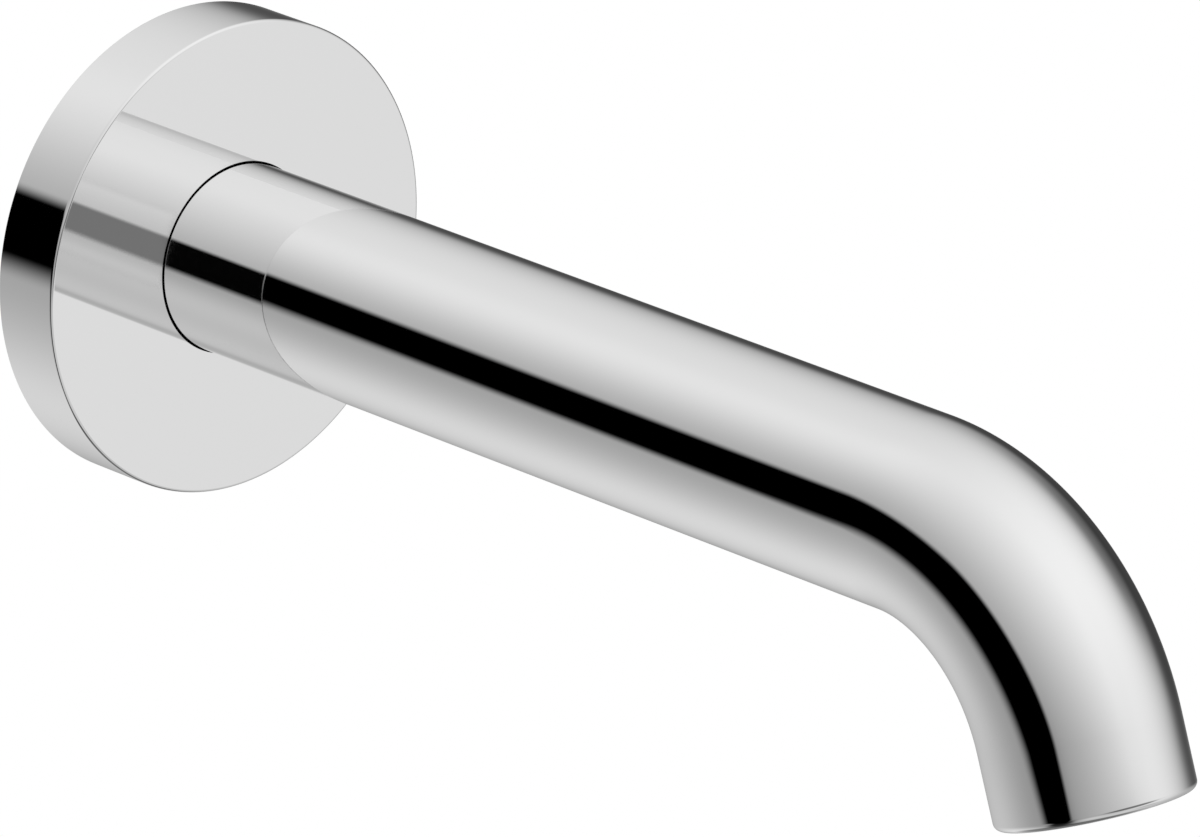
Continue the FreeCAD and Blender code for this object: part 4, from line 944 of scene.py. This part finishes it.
# Five small cards of the studio beside the tube. They show only in a reflection of a reflection, where the
# tube stands on the rose. The black one carries the tube's dark strip on, the grey one lays a band across the
# rose, the pale one lifts what is beside it, and two on the right darken the tube's far edge.
CARD_SIDE = 0.100
CARD_NEAR, CARD_FAR = -0.060, -0.140
CARD_REACH = 0.089
RAY_SLOPE = 0.95
CORNER_STEPS = 24
LEFT_CORNER = (-0.09886, 0.0015)
RIGHT_CORNER = (-0.1083, 0.007)
PALE_SIDE = 0.104
PALE_CORNER = (-0.1029, 0.0015)
PALE_FAR = -0.300
SHADE_FAR = -0.200


def studio_card(name, side, corner, end, low, high, shade, cover):
    """
    An upright card beside the tube. It runs from a curve, given as station and middle height, to a
    straight end. On the curve, rays that meet the rose first part from rays that meet the tube first.
    """
    station, middle = corner
    heights = [low + (high - low) * k / CORNER_STEPS for k in range(CORNER_STEPS + 1)]
    stations = [station - RAY_SLOPE * (math.hypot(CARD_REACH, z - middle) - CARD_REACH) for z in heights]
    outline = [(side, y, z) for y, z in zip(stations, heights)] + [(side, end, high), (side, end, low)]
    mesh = bpy.data.meshes.new(name)
    mesh.from_pydata(outline, [], [tuple(range(len(outline)))])
    card = in_scene(name, mesh)
    material, tree = new_material(name)
    place = add(tree, "ShaderNodeTexCoord", output="Object")
    height = add(tree, "ShaderNodeSeparateXYZ", [place], output="Z")
    share = cover(tree, height)
    ray = add(tree, "ShaderNodeLightPath", output=None)
    twice = add(tree, "ShaderNodeMath", [ray["Glossy Depth"], 1.5], operation="GREATER_THAN")
    twice = add(tree, "ShaderNodeMath", [twice, ray["Is Glossy Ray"]], operation="MULTIPLY")
    share = add(tree, "ShaderNodeMath", [share, twice], operation="MULTIPLY")
    clear = add(tree, "ShaderNodeBsdfTransparent")
    paper = add(tree, "ShaderNodeEmission", {"Color": (shade, shade, shade, 1.0)})
    both = add(tree, "ShaderNodeMixShader", [share, clear, paper])
    add(tree, "ShaderNodeOutputMaterial", [both])
    mesh.materials.append(material)


def band(foot_low, foot_high, top_low, top_high, most):
    """Even between a soft foot and a soft top."""
    def cover(tree, height):
        foot = add(tree, "ShaderNodeMapRange", {
            "Value": height, "From Min": foot_low, "From Max": foot_high, "To Max": most},
            interpolation_type="SMOOTHSTEP")
        top = add(tree, "ShaderNodeMapRange", {
            "Value": height, "From Min": top_low, "From Max": top_high, "To Min": 1.0, "To Max": 0.0},
            interpolation_type="SMOOTHSTEP")
        return add(tree, "ShaderNodeMath", [foot, top], operation="MULTIPLY")
    return cover


def haze(middle, spread, most):
    """Most at the middle height, and half that a spread above and below."""
    def cover(tree, height):
        away = add(tree, "ShaderNodeMath", [height, 1 / spread, -middle / spread], operation="MULTIPLY_ADD")
        square = add(tree, "ShaderNodeMath", [away, away, 1.0], operation="MULTIPLY_ADD")
        return add(tree, "ShaderNodeMath", [most, square], operation="DIVIDE")
    return cover


strip = band(-0.027, -0.0125, 0.0345, 0.0445, 1.0)
STRIP_LOW, STRIP_HIGH = -0.030, 0.048
studio_card("black_card", -CARD_SIDE, LEFT_CORNER, CARD_NEAR, STRIP_LOW, STRIP_HIGH, shade=0.001, cover=strip)
studio_card("grey_card", -CARD_SIDE, LEFT_CORNER, CARD_FAR, STRIP_LOW, STRIP_HIGH, shade=0.214, cover=strip)
studio_card("pale_card", -PALE_SIDE, PALE_CORNER, PALE_FAR, -0.090, 0.130, shade=1.3,
            cover=band(-0.088, -0.050, 0.095, 0.128, 0.155))
studio_card("shade_card", CARD_SIDE, RIGHT_CORNER, CARD_NEAR, -0.080, 0.110, shade=0.02,
            cover=haze(0.012, 0.030, 0.9))
studio_card("far_card", CARD_SIDE, RIGHT_CORNER, SHADE_FAR, -0.060, 0.070, shade=0.2,
            cover=haze(-0.002, 0.033, 0.38))

# A small pale floor of the studio far below, out of the picture. Views from above show it as the ground,
# a little lighter than its paint alone.
FLOOR_PLACE = (0, -0.09, -0.9)
FLOOR_RADIUS = 0.8
FLOOR_GLOW = 0.1
work = bmesh.new()
bmesh.ops.create_circle(work, cap_ends=True, segments=96, radius=FLOOR_RADIUS,
                        matrix=Matrix.Translation(FLOOR_PLACE))
mesh = bpy.data.meshes.new("floor")
work.to_mesh(mesh)
work.free()
floor = in_scene("floor", mesh)
pale, tree = new_material("pale_painted_floor")
paint = add(tree, "ShaderNodeBsdfDiffuse", {"Color": linear("#F2F2F2")})
glow = add(tree, "ShaderNodeEmission", {"Color": linear("#FFFFFF"), "Strength": FLOOR_GLOW})
lit = add(tree, "ShaderNodeAddShader", [paint, glow])
ray = add(tree, "ShaderNodeLightPath", output=None)
shown = add(tree, "ShaderNodeMixShader", [ray["Is Camera Ray"], paint, lit])
# It can be looked through from below, where the outlet is seen best, and mirrors show the tent behind it.
through = add(tree, "ShaderNodeBsdfTransparent")
under = add(tree, "ShaderNodeNewGeometry", output="Backfacing")
open_side = add(tree, "ShaderNodeMath", [ray["Is Glossy Ray"], under], operation="MAXIMUM")
floor_look = add(tree, "ShaderNodeMixShader", [open_side, shown, through])
add(tree, "ShaderNodeOutputMaterial", [floor_look])
mesh.materials.append(pale)
